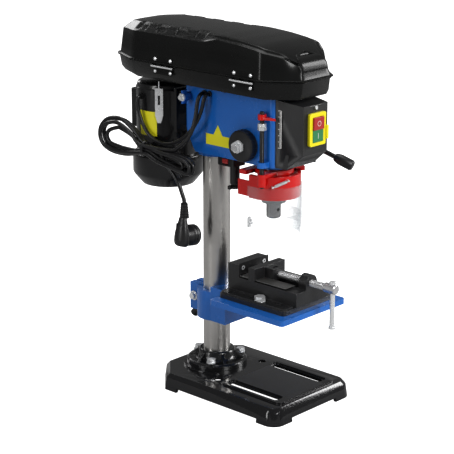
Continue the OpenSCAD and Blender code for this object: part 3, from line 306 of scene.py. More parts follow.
# %% Handling marks
def build_handling():
    """Roughness = base + spread * (cloud - 0.5), where the cloud is a large noise broken by a fine one."""
    group, given, result = new_group(
        "handling_marks", {"Scale": 18.0, "Base": 0.3, "Spread": 0.12}, {"Roughness": "NodeSocketFloat"})
    cloud = scaled_noise(group, given.outputs["Scale"], detail=5.0, rough=0.62)
    centred = add(group, "ShaderNodeMath", [(cloud.outputs[0], 0)], operation="SUBTRACT")
    centred.inputs[1].default_value = 0.5
    spread = add(group, "ShaderNodeMath", [(centred.outputs[0], 0), (given.outputs["Spread"], 1),
                 (given.outputs["Base"], 2)], operation="MULTIPLY_ADD", use_clamp=True)
    group.links.new(spread.outputs[0], result.inputs["Roughness"])
    return group


HANDLING = build_handling()


# %% Surface bump, plain or stretched
def build_texture_bump(name, stretch, detail):
    """A normal from one noise. Depth is the bump's height in metres, and Scale its cycles per metre."""
    group, given, result = new_group(
        name, {"Scale": 400.0, "Depth": 0.0001}, {"Normal": "NodeSocketVector", "Height": "NodeSocketFloat"})
    noise = scaled_noise(group, given.outputs["Scale"], stretch, detail)
    bump = group.nodes.new("ShaderNodeBump")
    bump.inputs["Strength"].default_value = 1.0
    group.links.new(given.outputs["Depth"], bump.inputs["Distance"])
    group.links.new(noise.outputs[0], bump.inputs["Height"])
    group.links.new(bump.outputs[0], result.inputs["Normal"])
    group.links.new(noise.outputs[0], result.inputs["Height"])
    return group


PEEL = build_texture_bump("orange_peel", (1, 1, 1), 1.0)
CAST_SKIN = build_texture_bump("cast_skin", (1, 1, 1), 4.0)
GROUND_ROUND = build_texture_bump("ground_round", (0.06, 0.06, 1), 2.0)
GROUND_ALONG_X = build_texture_bump("ground_along_x", (0.05, 1, 1), 2.0)
GROUND_ALONG_Y = build_texture_bump("ground_along_y", (1, 0.05, 1), 2.0)


# %% Worn and highlighted edges: wear plus a painted highlight
def build_edge_wear_and_highlight():
    """A mask of the places where a rounded normal differs from the true one, broken up by noise; it paints
    edge wear and an edge highlight.
    """
    group, given, result = new_group(
        "edge_wear_and_highlight", {"Width": 0.0008, "Amount": 0.5}, {"Mask": "NodeSocketFloat"})
    bevel = group.nodes.new("ShaderNodeBevel")
    bevel.samples = 4
    group.links.new(given.outputs["Width"], bevel.inputs["Radius"])
    true = group.nodes.new("ShaderNodeNewGeometry")
    dot = add(group, "ShaderNodeVectorMath", [(bevel.outputs[0], 0), (true.outputs["Normal"], 1)],
              operation="DOT_PRODUCT")
    edge = add(group, "ShaderNodeMapRange", [(dot.outputs["Value"], "Value")], From_Min=0.995, From_Max=0.90)
    place = group.nodes.new("ShaderNodeTexCoord")
    chips = add(group, "ShaderNodeTexNoise", [(place.outputs["Object"], "Vector")], Scale=160.0)
    broken = add(group, "ShaderNodeMapRange", [(chips.outputs[0], "Value")], From_Min=0.45, From_Max=0.75)
    both = add(group, "ShaderNodeMath", [(edge.outputs[0], 0), (broken.outputs[0], 1)], operation="MULTIPLY")
    last = add(group, "ShaderNodeMath", [(both.outputs[0], 0), (given.outputs["Amount"], 1)],
               operation="MULTIPLY", use_clamp=True)
    group.links.new(last.outputs[0], result.inputs["Mask"])
    return group


EDGE_WEAR_AND_HIGHLIGHT = build_edge_wear_and_highlight()
print("effects:", len(bpy.data.node_groups))

# %% [markdown]
# ## Finishes
# A finish is one Principled shader. What is the same all over a surface is set on the shader itself, and
# what varies comes from the shared effects.

# %% A finish from its recipe
def place_group(tree, group, **values):
    """An instance of a shared effect with its own values."""
    node = tree.nodes.new("ShaderNodeGroup")
    node.node_tree = group
    for label, value in values.items():
        node.inputs[label].default_value = value
    return node


def finish(name, color, rough, spread=0.1, bump=None, scale=400.0, depth=0.0, metal=0.0, coat=0.0,
           edge_color=None, edge=0.0, fleck=None, cloud=18.0, **fixed):
    """A Principled finish with cloudy roughness, a bump, and a paler line along its edges that paints wear
    and a highlight.
    """
    paint = bpy.data.materials.new(name)
    paint.use_nodes = True
    paint.diffuse_color = (*color, 1.0)
    tree = paint.node_tree
    shader = tree.nodes["Principled BSDF"]
    shader.inputs["Metallic"].default_value = metal
    shader.inputs["Base Color"].default_value = (*color, 1.0)
    shader.inputs["Coat Weight"].default_value = coat
    shader.inputs["Coat Roughness"].default_value = 0.06
    for label, value in fixed.items():
        shader.inputs[label.replace("_", " ")].default_value = value
    marks = place_group(tree, HANDLING, Scale=cloud, Base=rough, Spread=spread)
    tree.links.new(marks.outputs["Roughness"], shader.inputs["Roughness"])
    if bump is not None:
        skin = place_group(tree, bump, Scale=scale, Depth=depth)
        tree.links.new(skin.outputs["Normal"], shader.inputs["Normal"])
    tint = None
    if fleck is not None:
        place = tree.nodes.new("ShaderNodeTexCoord")
        noise = add(tree, "ShaderNodeTexNoise", [(place.outputs["Object"], "Vector")], Scale=26.0, Detail=6.0)
        ramp = tree.nodes.new("ShaderNodeMix")
        ramp.data_type = "RGBA"
        tree.links.new(noise.outputs[0], ramp.inputs[0])
        ramp.inputs[6].default_value = (*color, 1.0)
        ramp.inputs[7].default_value = (*fleck, 1.0)
        tint = ramp.outputs[2]
    # Paler colour along the rounded edges: partly wear, partly a painted highlight.
    if edge > 0.0:
        wear_and_highlight = place_group(tree, EDGE_WEAR_AND_HIGHLIGHT, Width=0.0009, Amount=edge)
        mix = tree.nodes.new("ShaderNodeMix")
        mix.data_type = "RGBA"
        tree.links.new(wear_and_highlight.outputs["Mask"], mix.inputs[0])
        mix.inputs[6].default_value = (*color, 1.0)
        mix.inputs[7].default_value = (*(edge_color or color), 1.0)
        if tint is not None:
            tree.links.new(tint, mix.inputs[6])
        tint = mix.outputs[2]
    if tint is not None:
        tree.links.new(tint, shader.inputs["Base Color"])
    return paint


# %% [markdown]
# The castings are sprayed, so their paint has a fine orange peel and a clear gloss over it. The pressed
# cover is smoother, and its black is a little warmer.

# %% Paints
PAINT = {}
# Each edge_color below is a paler tone along the edges: some wear, and a painted highlight on the edge.
PAINT["black_gloss"] = finish(
    "black_gloss_paint", (0.006, 0.006, 0.007), 0.16, 0.10, PEEL, 260.0, 0.00022, coat=0.6,
    fleck=(0.010, 0.010, 0.011), edge=0.35, edge_color=(0.05, 0.05, 0.052),
    Specular_IOR_Level=0.35)
PAINT["flange_black"] = finish(
    "casting_black_paint", (0.007, 0.007, 0.008), 0.22, 0.12, CAST_SKIN, 320.0, 0.0004, coat=0.4,
    fleck=(0.013, 0.013, 0.014), edge=0.35, edge_color=(0.06, 0.06, 0.06))
PAINT["cover_black"] = finish(
    "cover_black_paint", (0.006, 0.006, 0.0062), 0.27, 0.10, PEEL, 420.0, 0.00003, coat=0.12,
    fleck=(0.010, 0.0105, 0.010), edge=0.3, edge_color=(0.045, 0.045, 0.045),
    Specular_IOR_Level=0.22)
# The brighter blue along the edges is a painted highlight, with some wear.
PAINT["blue_paint"] = finish(
    "blue_paint", (0.010, 0.135, 0.47), 0.26, 0.12, PEEL, 300.0, 0.00020, coat=0.5,
    fleck=(0.012, 0.155, 0.53), edge=0.35, edge_color=(0.10, 0.30, 0.75))
PAINT["motor_black"] = finish(
    "motor_black_paint", (0.007, 0.007, 0.008), 0.25, 0.12, PEEL, 380.0, 0.00016, coat=0.4,
    fleck=(0.012, 0.012, 0.013), edge=0.35, edge_color=(0.05, 0.05, 0.05),
    Specular_IOR_Level=0.35)
PAINT["vise_black"] = finish(
    "vise_black_paint", (0.012, 0.012, 0.013), 0.34, 0.14, CAST_SKIN, 420.0, 0.0005, coat=0.15,
    fleck=(0.024, 0.024, 0.025), edge=0.7, edge_color=(0.16, 0.16, 0.165))

# %% [markdown]
# Moulded plastics are duller than paint and have no clear coat. Their surface is the skin of the mould.

# %% Plastics and rubber
PAINT["housing_black"] = finish(
    "housing_plastic", (0.018, 0.018, 0.019), 0.42, 0.10, CAST_SKIN, 900.0, 0.0002,
    fleck=(0.024, 0.024, 0.025))
PAINT["plastic_black"] = finish(
    "black_plastic", (0.012, 0.012, 0.013), 0.36, 0.12, CAST_SKIN, 700.0, 0.00015, fleck=(0.019, 0.019, 0.02))
PAINT["laser_black"] = finish(
    "laser_plastic", (0.012, 0.012, 0.013), 0.33, 0.10, CAST_SKIN, 800.0, 0.00012,
    fleck=(0.018, 0.018, 0.019))
PAINT["rubber_black"] = finish(
    "rubber", (0.013, 0.013, 0.014), 0.62, 0.14, CAST_SKIN, 900.0, 0.0002, fleck=(0.022, 0.022, 0.023))
PAINT["cord_black"] = finish(
    "cord_jacket", (0.010, 0.010, 0.011), 0.30, 0.14, CAST_SKIN, 700.0, 0.00015, fleck=(0.016, 0.016, 0.017))
PAINT["switch_yellow"] = finish(
    "switch_yellow", (0.80, 0.72, 0.012), 0.34, 0.08, CAST_SKIN, 700.0, 0.0001, fleck=(0.70, 0.62, 0.010))
PAINT["stop_red"] = finish(
    "button_red", (0.42, 0.030, 0.028), 0.28, 0.08, PEEL, 500.0, 0.0001, fleck=(0.36, 0.024, 0.022))
PAINT["start_green"] = finish(
    "button_green", (0.045, 0.24, 0.10), 0.28, 0.08, PEEL, 500.0, 0.0001, fleck=(0.036, 0.20, 0.08))
PAINT["guard_red"] = finish(
    "guard_red", (0.63, 0.008, 0.006), 0.22, 0.08, PEEL, 260.0, 0.0003, coat=0.3, fleck=(0.52, 0.006, 0.005))
PAINT["knob_blue"] = finish(
    "knob_blue", (0.012, 0.13, 0.50), 0.3, 0.08, PEEL, 500.0, 0.0001, fleck=(0.01, 0.10, 0.42))

# %% [markdown]
# Bare metals differ by how they were cut. Turned and ground bars carry fine rings, the zinc on bolts is
# cloudy, and alloy pulleys are bright where the tool has passed.

# %% Metals
PAINT["zinc"] = finish(
    "zinc_plate", (0.86, 0.87, 0.88), 0.26, 0.16, CAST_SKIN, 500.0, 0.0002, metal=0.6,
    fleck=(0.76, 0.77, 0.78), cloud=60.0)
PAINT["column_steel"] = finish(
    "ground_column", (0.62, 0.605, 0.585), 0.31, 0.10, GROUND_ROUND, 900.0, 0.00025, metal=1.0,
    fleck=(0.52, 0.506, 0.487), cloud=9.0)
PAINT["steel"] = finish(
    "turned_steel", (0.70, 0.70, 0.71), 0.26, 0.12, GROUND_ROUND, 1200.0, 0.00015, metal=0.85,
    fleck=(0.58, 0.58, 0.59), cloud=40.0)
PAINT["chuck_steel"] = finish(
    "chuck_steel", (0.50, 0.505, 0.515), 0.24, 0.12, GROUND_ROUND, 1100.0, 0.00015, metal=1.0,
    fleck=(0.28, 0.28, 0.29), cloud=50.0)
PAINT["spring_steel"] = finish(
    "blued_spring", (0.20, 0.21, 0.24), 0.32, 0.12, GROUND_ROUND, 900.0, 0.0001, metal=1.0,
    fleck=(0.15, 0.15, 0.17))
PAINT["pulley_alloy"] = finish(
    "pulley_alloy", (0.72, 0.73, 0.74), 0.30, 0.14, GROUND_ROUND, 800.0, 0.0002, metal=1.0,
    fleck=(0.62, 0.63, 0.64), cloud=30.0)


# %% [markdown]
# The guard's window is a clear moulding. Clear plastic is nearly invisible face on and turns white and
# bright where it is seen edge on, so its opacity follows how far the surface tilts from the viewer.

# %% Clear plastic
def clear_finish():
    """Opacity = 0.04 where the surface faces the eye, rising to 0.75 where it turns away."""
    paint = bpy.data.materials.new("clear_window")
    paint.use_nodes = True
    tree = paint.node_tree
    shader = tree.nodes["Principled BSDF"]
    shader.inputs["Base Color"].default_value = (0.60, 0.63, 0.65, 1.0)
    shader.inputs["IOR"].default_value = 1.49
    tilt = add(tree, "ShaderNodeLayerWeight", Blend=0.18)
    opacity = add(tree, "ShaderNodeMapRange", [(tilt.outputs["Facing"], "Value")],
                  From_Min=0.02, From_Max=0.75, To_Min=0.04, To_Max=0.75)
    marks = place_group(tree, HANDLING, Scale=40.0, Base=0.07, Spread=0.06)
    tree.links.new(marks.outputs["Roughness"], shader.inputs["Roughness"])
    tree.links.new(opacity.outputs[0], shader.inputs["Alpha"])
    return paint


PAINT["clear_plastic"] = clear_finish()
print("finishes:", len(PAINT))

# %% [markdown]
# ## Putting a piece on its body
# Each finished piece rides on one of the machine's moving bodies and wears one finish, and the design
# nodes that it stands for are hidden.

# %% Dressing pieces
SLOT = {s["node"]: s["material_slot"] for s in frame["record"]["subparts"]}
made = []


def dress(name, mesh, body, slot, paint=None, replaces=()):
    """An object from a mesh, painted, riding on its body."""
    mesh.materials.clear()
    mesh.materials.append(paint or PAINT[slot])
    piece = bpy.data.objects.new(name, mesh)
    scene.collection.objects.link(piece)
    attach(piece, body)
    if replaces:
        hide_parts(*replaces)
    made.append(name)
    return piece


def shape(name, part, body, slot, paint=None, replaces=()):
    """A dressed piece straight from its (points, faces)."""
    return dress(name, make_mesh(name, *part), body, slot, paint, replaces)


def rounded_copy(node, width=0.5, angle=34.0, segments=2, paint=None, slot=None):
    """A design node's own surface, merged and simplified, with its edges rounded off by width millimetres."""
    mesh = nodes[node].data.copy()
    mesh.name = node + "_surface"
    soup = bmesh.new()
    soup.from_mesh(mesh)
    bmesh.ops.remove_doubles(soup, verts=soup.verts, dist=2e-6)
    bmesh.ops.dissolve_limit(soup, angle_limit=math.radians(0.6), verts=soup.verts, edges=soup.edges)
    soup.to_mesh(mesh)
    soup.free()
    mesh.shade_smooth()
    mesh.set_sharp_from_angle(angle=math.radians(angle))
    piece = dress(node + "_finished", mesh, body_of_node[node], slot or SLOT[node], paint, replaces=[node])
    if width > 0:
        bevel = piece.modifiers.new("rounded edges", "BEVEL")
        bevel.width = width * MM
        bevel.segments = segments
        bevel.limit_method = "ANGLE"
        bevel.angle_limit = math.radians(angle)
        bevel.use_clamp_overlap = True
        bevel.harden_normals = True
    return piece


print("dressing ready")

# %% [markdown]
# ## The mains lead
# A lead of 2.1 m is folded into a tied hank that hangs beside the head. Its route is settled first,
# because a cord has a fixed length and everything else must leave it room. It leaves the head through a
# grommet, falls into the hank, goes round four times, and drops to its plug. Each turn is a long loop that
# is wide behind the tie and narrow in front of it.

# %% The lead's route
LEAD_RADIUS = 3.4
TIE = np.array([-75.0, 93.0, 409.0])
LEAD_RUN = [
    [-45, -14, 514], [-49, -14, 514], [-54, -14, 511.5], [-58, -13.5, 505], [-60, -13, 496],
    [-62, -13, 484], [-64.5, -12, 470], [-67, -9, 456], [-69.5, -3, 443], [-72, 6, 432],
    [-74, 18, 422], [-75, 32, 415.5],
]
LEAD_TAIL = [
    [-75, 48, 396], [-75, 40, 386], [-75, 31, 379], [-75, 22, 370], [-74.5, 14.5, 359],
    [-74, 9.5, 347], [-73, 6, 337], [-73, 5, 332.5], [-73, 5, 330],
]


def hank_turn(layer, back, half, front, low_shift, lane):
    """One turn of the hank from the tie: over the wide back loop, then round the narrow front one.

    layer is its place across the hank, back and front are its two ends, and half is half the height of the
    back loop. low_shift lowers its under side, and lane is how far it passes from the middle of the tie."""
    x, y, z = TIE + [layer, 0, 0]
    rise = 4.0 + low_shift
    return [
        [x, y + 4, z + lane], [x, y + 26, z + 10 + half * 0.55], [x, y + 56, z + 14 + half],
        [x, back - 26, z + 15 + half * 0.9], [x, back - 6, z + 13 + half * 0.45], [x, back, z + 8],
        [x, back - 8, z + 3 - half * 0.45], [x, back - 30, z + 4 - half * 0.8],
        [x, y + 50, z + 3 - half * 0.78], [x, y + 22, z - 1 - half * 0.42], [x, y - 6, z - lane],
        [x, y - 36, z - 10 - rise],
        [x, front + 22, z - 17 - rise], [x, front + 5, z - 20 - rise * 0.7], [x, front, z - 14],
        [x, front + 8, z - 8 + rise * 0.4], [x, front + 34, z - 3 + rise * 0.4], [x, y - 38, z + 1],
    ]


TURNS = [
    hank_turn(-7.0, 198.0, 21.0, -16.0, 2.0, 6.5),
    hank_turn(0.2, 206.0, 27.0, -18.0, 3.5, 7.0),
    hank_turn(7.0, 203.0, 24.0, -12.0, 1.0, 6.0),
    hank_turn(-3.4, 184.0, 12.5, 2.0, -3.5, 0.6),
]
lead_points = LEAD_RUN + [p for turn in TURNS for p in turn] + LEAD_TAIL
lead_path = smooth_path(lead_points, 4)
print("mains lead:", round(path_length(lead_path) / 1000, 3), "m")


# %% [markdown]
# The lead is a Blender curve with a round section. A curve keeps its own line, so its length can be read
# from it, and it never pinches in a bend.

# %% A cord as a curve
def cord_curve(name, path, radius, body, nodes_replaced, slot="cord_black"):
    """An open spline through the path with a round section."""
    curve = bpy.data.curves.new(name, "CURVE")
    curve.dimensions = "3D"
    spline = curve.splines.new("POLY")
    points = to_frame(path)
    spline.points.add(len(points) - 1)
    flat = np.concatenate([points, np.ones((len(points), 1))], 1)
    spline.points.foreach_set("co", flat.ravel())
    spline.use_smooth = True
    curve.bevel_depth = radius * MM
    curve.bevel_resolution = 4
    curve.use_fill_caps = True
    curve.materials.append(PAINT[slot])
    piece = bpy.data.objects.new(name, curve)
    scene.collection.objects.link(piece)
    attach(piece, body)
    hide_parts(*nodes_replaced)
    made.append(name)
    return piece


mains_lead = cord_curve("mains_lead_hanked", lead_path, LEAD_RADIUS, "frame", ["mains_lead", "lead_hank"])

# %% [markdown]
# The plug is an angled, earthed one, moulded on to the lead. Its strain relief is a ribbed taper, its body
# is a round cap, and its face looks towards the column with two round pins.

# %% The plug
PLUG = np.array([-73.0, 5.0, 305.0])
LEAN = math.radians(8)
DOWN = np.array([-math.sin(LEAN), 0.0, -math.cos(LEAN)])
FACE = np.array([math.cos(LEAN), 0.0, -math.sin(LEAN)])


def ribbed_sleeve(place, length, wide, narrow, ribs):
    """A tapered sleeve: r = taper, less 1.9 mm in the groove after each rib."""
    pitch = length / ribs
    profile = [(3.3, 0.0)]
    for k in range(ribs):
        for share, groove in ((0.0, 0.0), (0.56, 0.0), (0.62, 1.9), (0.94, 1.9)):
            h = (k + share) * pitch
            profile.append((wide + (narrow - wide) * h / length - groove, h))
    profile += [(narrow, length), (3.3, length)]
    return revolved(profile, place, [0, 0, 1], 40)


def plug_body():
    """The grip is a flattened wedge down the lead's line, and the cap a round disc across it."""
    grip = [(0, -1), (6.6, -1), (7.6, 1), (8.4, 5), (10.4, 12), (12.6, 20), (14.0, 27), (14.6, 34),
            (14.6, 41), (13.2, 45.5), (10.0, 48), (0, 48.6)]
    points, faces = revolved(grip, PLUG, DOWN, 56)
    points[:, 0] = PLUG[0] + (points[:, 0] - PLUG[0]) * 0.72 - 3.0
    hub = PLUG + DOWN * 31 + FACE * 2.0
    cap = [(0, -3), (11, -3), (13.5, 0), (15.0, 4), (16.8, 8), (17.8, 10.5), (18.0, 12), (18.0, 15.0),
           (17.2, 15.4), (17.2, 16.8), (18.0, 17.2), (18.0, 24), (16.8, 25.6), (0, 25.8)]
    bars = []
    for y in (-7.0, -2.4, 2.4, 7.0):
        bar, sides = box_part(PLUG + [-11.4, y - 0.8, -32], PLUG + [0, y + 0.8, -9])
        bar[:, 0] -= np.where(bar[:, 2] < PLUG[2] - 20, 2.6, 0.0) * (bar[:, 0] < PLUG[0] - 1)
        bars.append((bar, sides))
    return joined([(points, faces), revolved(cap, hub, FACE, 64)] + bars)


def plug_pins():
    """Two round pins, 19 mm apart, with rounded tips, standing out of the cap's face."""
    hub = PLUG + DOWN * 31 + FACE * 27.6
    pin = [(0, -0.5), (2.4, -0.5), (2.4, 2.2), (2.4, 2.8), (1.6, 3.4), (0, 3.6)]
    return joined([revolved(pin, hub + np.array([0, s * 9.5, 0]), FACE, 24) for s in (-1, 1)])


plug = shape("mains_plug_body", plug_body(), "frame", "plastic_black", replaces=["mains_plug"])
relief = shape("plug_strain_relief", ribbed_sleeve(PLUG, 25.0, 8.0, 5.8, 6), "frame", "plastic_black")
pins = shape("plug_pins", plug_pins(), "frame", "zinc")


# %% The hank's tie
def tie_band():
    """A flat band round the bundle: an oval ring swept with a thin section, and its tail."""
    t = np.linspace(0, 2 * math.pi, 48, endpoint=False)
    rings = []
    for width, grow in ((-2.4, 0.0), (2.4, 0.0), (2.4, 1.1), (-2.4, 1.1), (-2.4, 0.0)):
        ring = np.stack([TIE[0] + (10.2 + grow) * np.cos(t), np.full_like(t, TIE[1] + width),
                         TIE[2] + (11.5 + grow) * np.sin(t)], 1)
        rings.append(ring)
    points = np.concatenate(rings)
    return points, grid_faces(5, 48, True).tolist()


tie = shape("hank_tie", tie_band(), "frame", "plastic_black")

# %% [markdown]
# The motor's own cable is short. It sags between the head's grommet and the gland on the motor. The motor
# can slide, but this cable is a fixed shape on the frame.

# %% The motor cable
CABLE_RADIUS = 3.2
MOTOR_CABLE = [
    [-45, -25, 514], [-49, -25, 514], [-53, -24.5, 511], [-55.5, -23.5, 504], [-56.5, -21, 492],
    [-57, -16, 479], [-57.5, -8, 465], [-58, 3, 451], [-59, 17, 438], [-60, 34, 427],
    [-60, 51, 421], [-60, 69, 419], [-60.5, 86, 422], [-61, 100, 430], [-61.5, 111, 443],
    [-62.5, 118, 458], [-64, 121.5, 472], [-64.5, 122.5, 482], [-63.5, 122.3, 489], [-61, 122, 492],
    [-58.4, 122, 492],
]
cable_path = smooth_path(MOTOR_CABLE, 3)
cable_curve = cord_curve("motor_cable_curve", cable_path, CABLE_RADIUS, "frame", [])
made.remove("motor_cable_curve")
bpy.context.view_layer.update()
cable_mesh = bpy.data.meshes.new_from_object(cable_curve)
cable_mesh.name = "motor_cable_sheath"
bpy.data.objects.remove(cable_curve)
motor_cable = dress("motor_cable_sheath", cable_mesh, "frame", "cord_black", replaces=["motor_cable"])
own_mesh(motor_cable)
print("motor cable:", round(path_length(cable_path)), "mm")

# %% [markdown]
# ## The belt cover's lid
# The lid is one pressed shell: straight walls that lean in a little, a sloping shoulder with four notches
# pressed into it on each side, a long scoop beside the nose, and a flat roof. It is one surface. One
# parameter runs round the outline, the other climbs the section from the rim to the middle of the roof.

# %% Outlines with round corners
def inset_polygon(corners, d):
    """Moves each side of a convex outline inwards by d and finds the corners again."""
    c = np.asarray(corners, float)
    side = np.roll(c, -1, 0) - c
    side /= np.linalg.norm(side, axis=1)[:, None]
    normal = np.stack([-side[:, 1], side[:, 0]], 1)
    offset = (c * normal).sum(1) + d
    previous = np.roll(normal, 1, 0)
    det = previous[:, 0] * normal[:, 1] - previous[:, 1] * normal[:, 0]
    before = np.roll(offset, 1)
    x = (before * normal[:, 1] - offset * previous[:, 1]) / det
    y = (previous[:, 0] * offset - normal[:, 0] * before) / det
    return np.stack([x, y], 1)


def round_outline(corners, radii, per_corner, per_side):
    """A closed loop of points: a quadratic curve at each corner, and even points along the sides."""
    c = np.asarray(corners, float)
    loop = []
    count = len(c)
    for i in range(count):
        a, b, d = c[i - 1], c[i], c[(i + 1) % count]
        r = radii[i]
        start = b + (a - b) / np.linalg.norm(a - b) * r
        end = b + (d - b) / np.linalg.norm(d - b) * r
        t = np.linspace(0, 1, per_corner)[:, None]
        loop.append((1 - t) ** 2 * start + 2 * t * (1 - t) * b + t ** 2 * end)
        following = d + (b - d) / np.linalg.norm(b - d) * radii[(i + 1) % count]
        s = np.linspace(0, 1, per_side[i] + 2)[1:-1, None]
        loop.append(end + (following - end) * s)
    return np.concatenate(loop)


# %% The lid's surface
lid_low, lid_high = node_box("cover_lid")
SEAM = lid_low[2]
HALF = 75.0
NOSE_Y, TAIL_Y = lid_low[1] + 4, lid_high[1] - 4
COVER_PLAN = [
    [-35, NOSE_Y], [35, NOSE_Y], [HALF, NOSE_Y + 52], [HALF, TAIL_Y - 60], [HALF - 28, TAIL_Y],
    [28 - HALF, TAIL_Y], [-HALF, TAIL_Y - 60], [-HALF, NOSE_Y + 52],
]
PLAN_SIDES = [16, 18, 220, 18, 18, 18, 220, 18]
ROOF_Y = [NOSE_Y, -205, -192, -180, -166, -148, -110, -71, -35, 120, 150, TAIL_Y]
ROOF_Z = [577, 585, 592.5, 598.5, 603.5, 608.5, 613, 615.5, 616.5, 617.5, 615.5, 611]
NOTCH_Y = (-22.0, 22.0, 66.0, 110.0)


def roof(y):
    """The roof's height over y, smoothed by averaging nearby places on the profile."""
    spread = np.linspace(-7, 7, 7)
    return np.mean([np.interp(y + s, ROOF_Y, ROOF_Z) for s in spread], axis=0)


def soft_step(value):
    """3v^2 - 2v^3, with v held between 0 and 1."""
    v = np.clip(value, 0, 1)
    return v * v * (3 - 2 * v)


def lid_surface():
    """Each column of points climbs the wall at one place of the outline, crosses the shoulder, then the roof.

    A row is a place (d, z) in the section: d is the inset from the outline, and z its height. The shoulder
    starts drop below the roof. Towards the nose its drop gets less and its face is scooped out."""
    outer = round_outline(COVER_PLAN, [5, 5, 5, 9, 9, 9, 9, 5], 5, PLAN_SIDES)
    deep = 26.0
    inner = round_outline(inset_polygon(COVER_PLAN, deep), [4, 4, 6, 10, 8, 8, 10, 6], 5, PLAN_SIDES)
    y = outer[:, 1]
    front = soft_step((NOSE_Y + 2.5 - y) / 2.0)
    nose = soft_step((-30 - y) / 40.0)
    drop = 12.5 - 7.5 * nose
    reach = 21.0 - 4.0 * nose - 6.0 * soft_step((-185 - y) / 25.0)
    reach += front * (24.0 - reach)
    top = roof(y + (inner[:, 1] - y) * reach / deep)
    scoop = 3.2 * nose * soft_step((y + 212) / 30.0)
    one = np.ones_like(top)
    lean = 5.0 + 3.5 * soft_step((-190 - y) / 20.0)
    wall_top = top - drop
    rise = wall_top - SEAM - 2.5
    section = [
        (-3.6 * one, SEAM * one), (-4.1 * one, (SEAM + 0.6) * one), (-4.1 * one, (SEAM + 1.9) * one),
        (-3.6 * one, (SEAM + 2.4) * one), (-0.3 * one, (SEAM + 2.5) * one), (0.1 * one, (SEAM + 3.2) * one),
        (0.35 * lean, SEAM + 2.5 + 0.33 * rise), (0.66 * lean, SEAM + 2.5 + 0.66 * rise),
        (0.95 * lean, wall_top - 2.0), (lean + 0.3, wall_top - 0.5), (lean + 1.3, wall_top + 0.25),
        (lean + 2.4, wall_top + 0.06 * drop - 0.45 * scoop + 0.4),
        (lean + 0.45 * (reach - lean), wall_top + 0.42 * drop - scoop),
        (reach - 3.2, wall_top + 0.78 * drop - 0.8 * scoop), (reach - 1.3, top - 0.9), (reach, top - 0.15),
        (reach + 1.6, top + 0.2),
    ]
    fine = section[:9]
    for (d0, z0), (d1, z1) in zip(section[8:], section[9:]):
        fine += [((d0 + d1) / 2, (z0 + z1) / 2), (d1, z1)]
    section = fine
    rows = []
    for k, (d, z) in enumerate(section):
        if k > 5:
            turn = (k - 6) / (len(section) - 7)
            arc = math.radians(90) * soft_step(turn) * 0.4 + math.radians(90) * turn * 0.6
            base = SEAM + 12
            d = d + front * (3.5 + (reach + 1.6 - 3.5) * (1 - math.cos(arc)) - d)
            z = z + front * (base + (top + 0.2 - base) * math.sin(arc) ** 0.9 - z)
        share = (d / deep)[:, None]
        rows.append(np.column_stack([outer + (inner - outer) * share, z]))
    shelf = rows[-1]
    for k in np.linspace(0.1, 1.0, 9):
        x = shelf[:, 0] * (1 - k)
        along = shelf[:, 1] + (np.clip(shelf[:, 1], NOSE_Y + 30, TAIL_Y - 40) - shelf[:, 1]) * k
        rows.append(np.column_stack([x, along, roof(along) + 0.2 + 1.6 * k * (2 - k)]))
    grid = np.stack(rows)
    inside = HALF - np.abs(grid[..., 0])
    band = soft_step((inside - 9.0) / 3.0) * (1 - soft_step((inside - 24.0) / 2.0))
    notch = sum(soft_step((12.0 - np.abs(grid[..., 1] - p)) / 1.6) for p in NOTCH_Y)
    grid[..., 2] -= 3.0 * band * notch * (grid[..., 2] > SEAM + 30)
    return grid.reshape(-1, 3), grid_faces(*grid.shape[:2], True).tolist()


lid_mesh = make_mesh("lid_shell", *lid_surface(), sharp=33.0, closed=False)
lid = dress("lid_shell", lid_mesh, "lid", "cover_black", replaces=["cover_lid"])
wall = lid.modifiers.new("sheet thickness", "SOLIDIFY")
wall.thickness = 1.2 * MM
wall.offset = -1.0
print("lid faces:", len(lid_mesh.polygons))

# %% [markdown]
# ## The machine's own castings and fittings
# The design already has the right shape for the rest. A real casting has no knife edges, though, so each
# node's surface is copied, its flat faces are joined up again, and its edges are rounded by a little.

# %% Rounded copies of the design's pieces
EDGES = {
    "base_plate": 1.2, "column_flange": 0.9, "head_casting": 1.2, "front_housing": 1.0, "pulley_pan": 0.8,
    "drill_table": 1.0, "vise_base": 0.9, "vise_jaw": 0.8, "switch_plate": 0.5, "stop_button": 0.8,
    "start_button": 0.8, "spring_cap": 0.6, "laser_box": 0.6, "laser_rocker": 0.3, "laser_head": 0.3,
    "motor_shell": 0.6, "motor_end_cap": 0.8, "capacitor_box": 1.0, "motor_plate": 0.8,
    "motor_fittings": 0.25,
    "guard_collar": 0.6, "guard_hood": 0.5, "flange_bolts": 0.4, "head_fasteners": 0.3, "vise_bolts": 0.4,
    "depth_pointer": 0.5, "depth_nuts": 0.35, "feed_hub": 0.6, "feed_grips": 0.6, "table_clamp_bolt": 0.4,
    "table_lever": 0.5, "vise_bar": 0.4, "tension_knob": 0.4, "chuck_body": 0.35, "chuck_sleeve": 0.25,
    "chuck_jaws": 0.15, "motor_pulley": 0.4, "spindle_pulley": 0.4, "quill": 0.0, "spindle": 0.3,
    "spindle_bearings": 0.3, "feed_shaft": 0.0, "motor_shaft": 0.3, "column": 0.3, "wing_screw": 0.3,
    "guard_spring": 0.2, "cable_grommets": 0.5,
    "return_spring": 0.1, "guard_shield": 0.25, "shield_extension": 0.25,
}
for node, width in EDGES.items():
    rounded_copy(node, width)
print("rounded:", len(EDGES))

# %% [markdown]
# The cover's two hinges are painted with it, so only their rivets and pins are bright. The leaves keep the
# design's surface in black, and the rivet heads and the pins stand on it as separate zinc pieces.

# %% Hinges
for node in ("pan_hinge_leaves", "lid_hinge_leaves"):
    rounded_copy(node, 0.15, paint=PAINT["cover_black"], slot="cover_black")

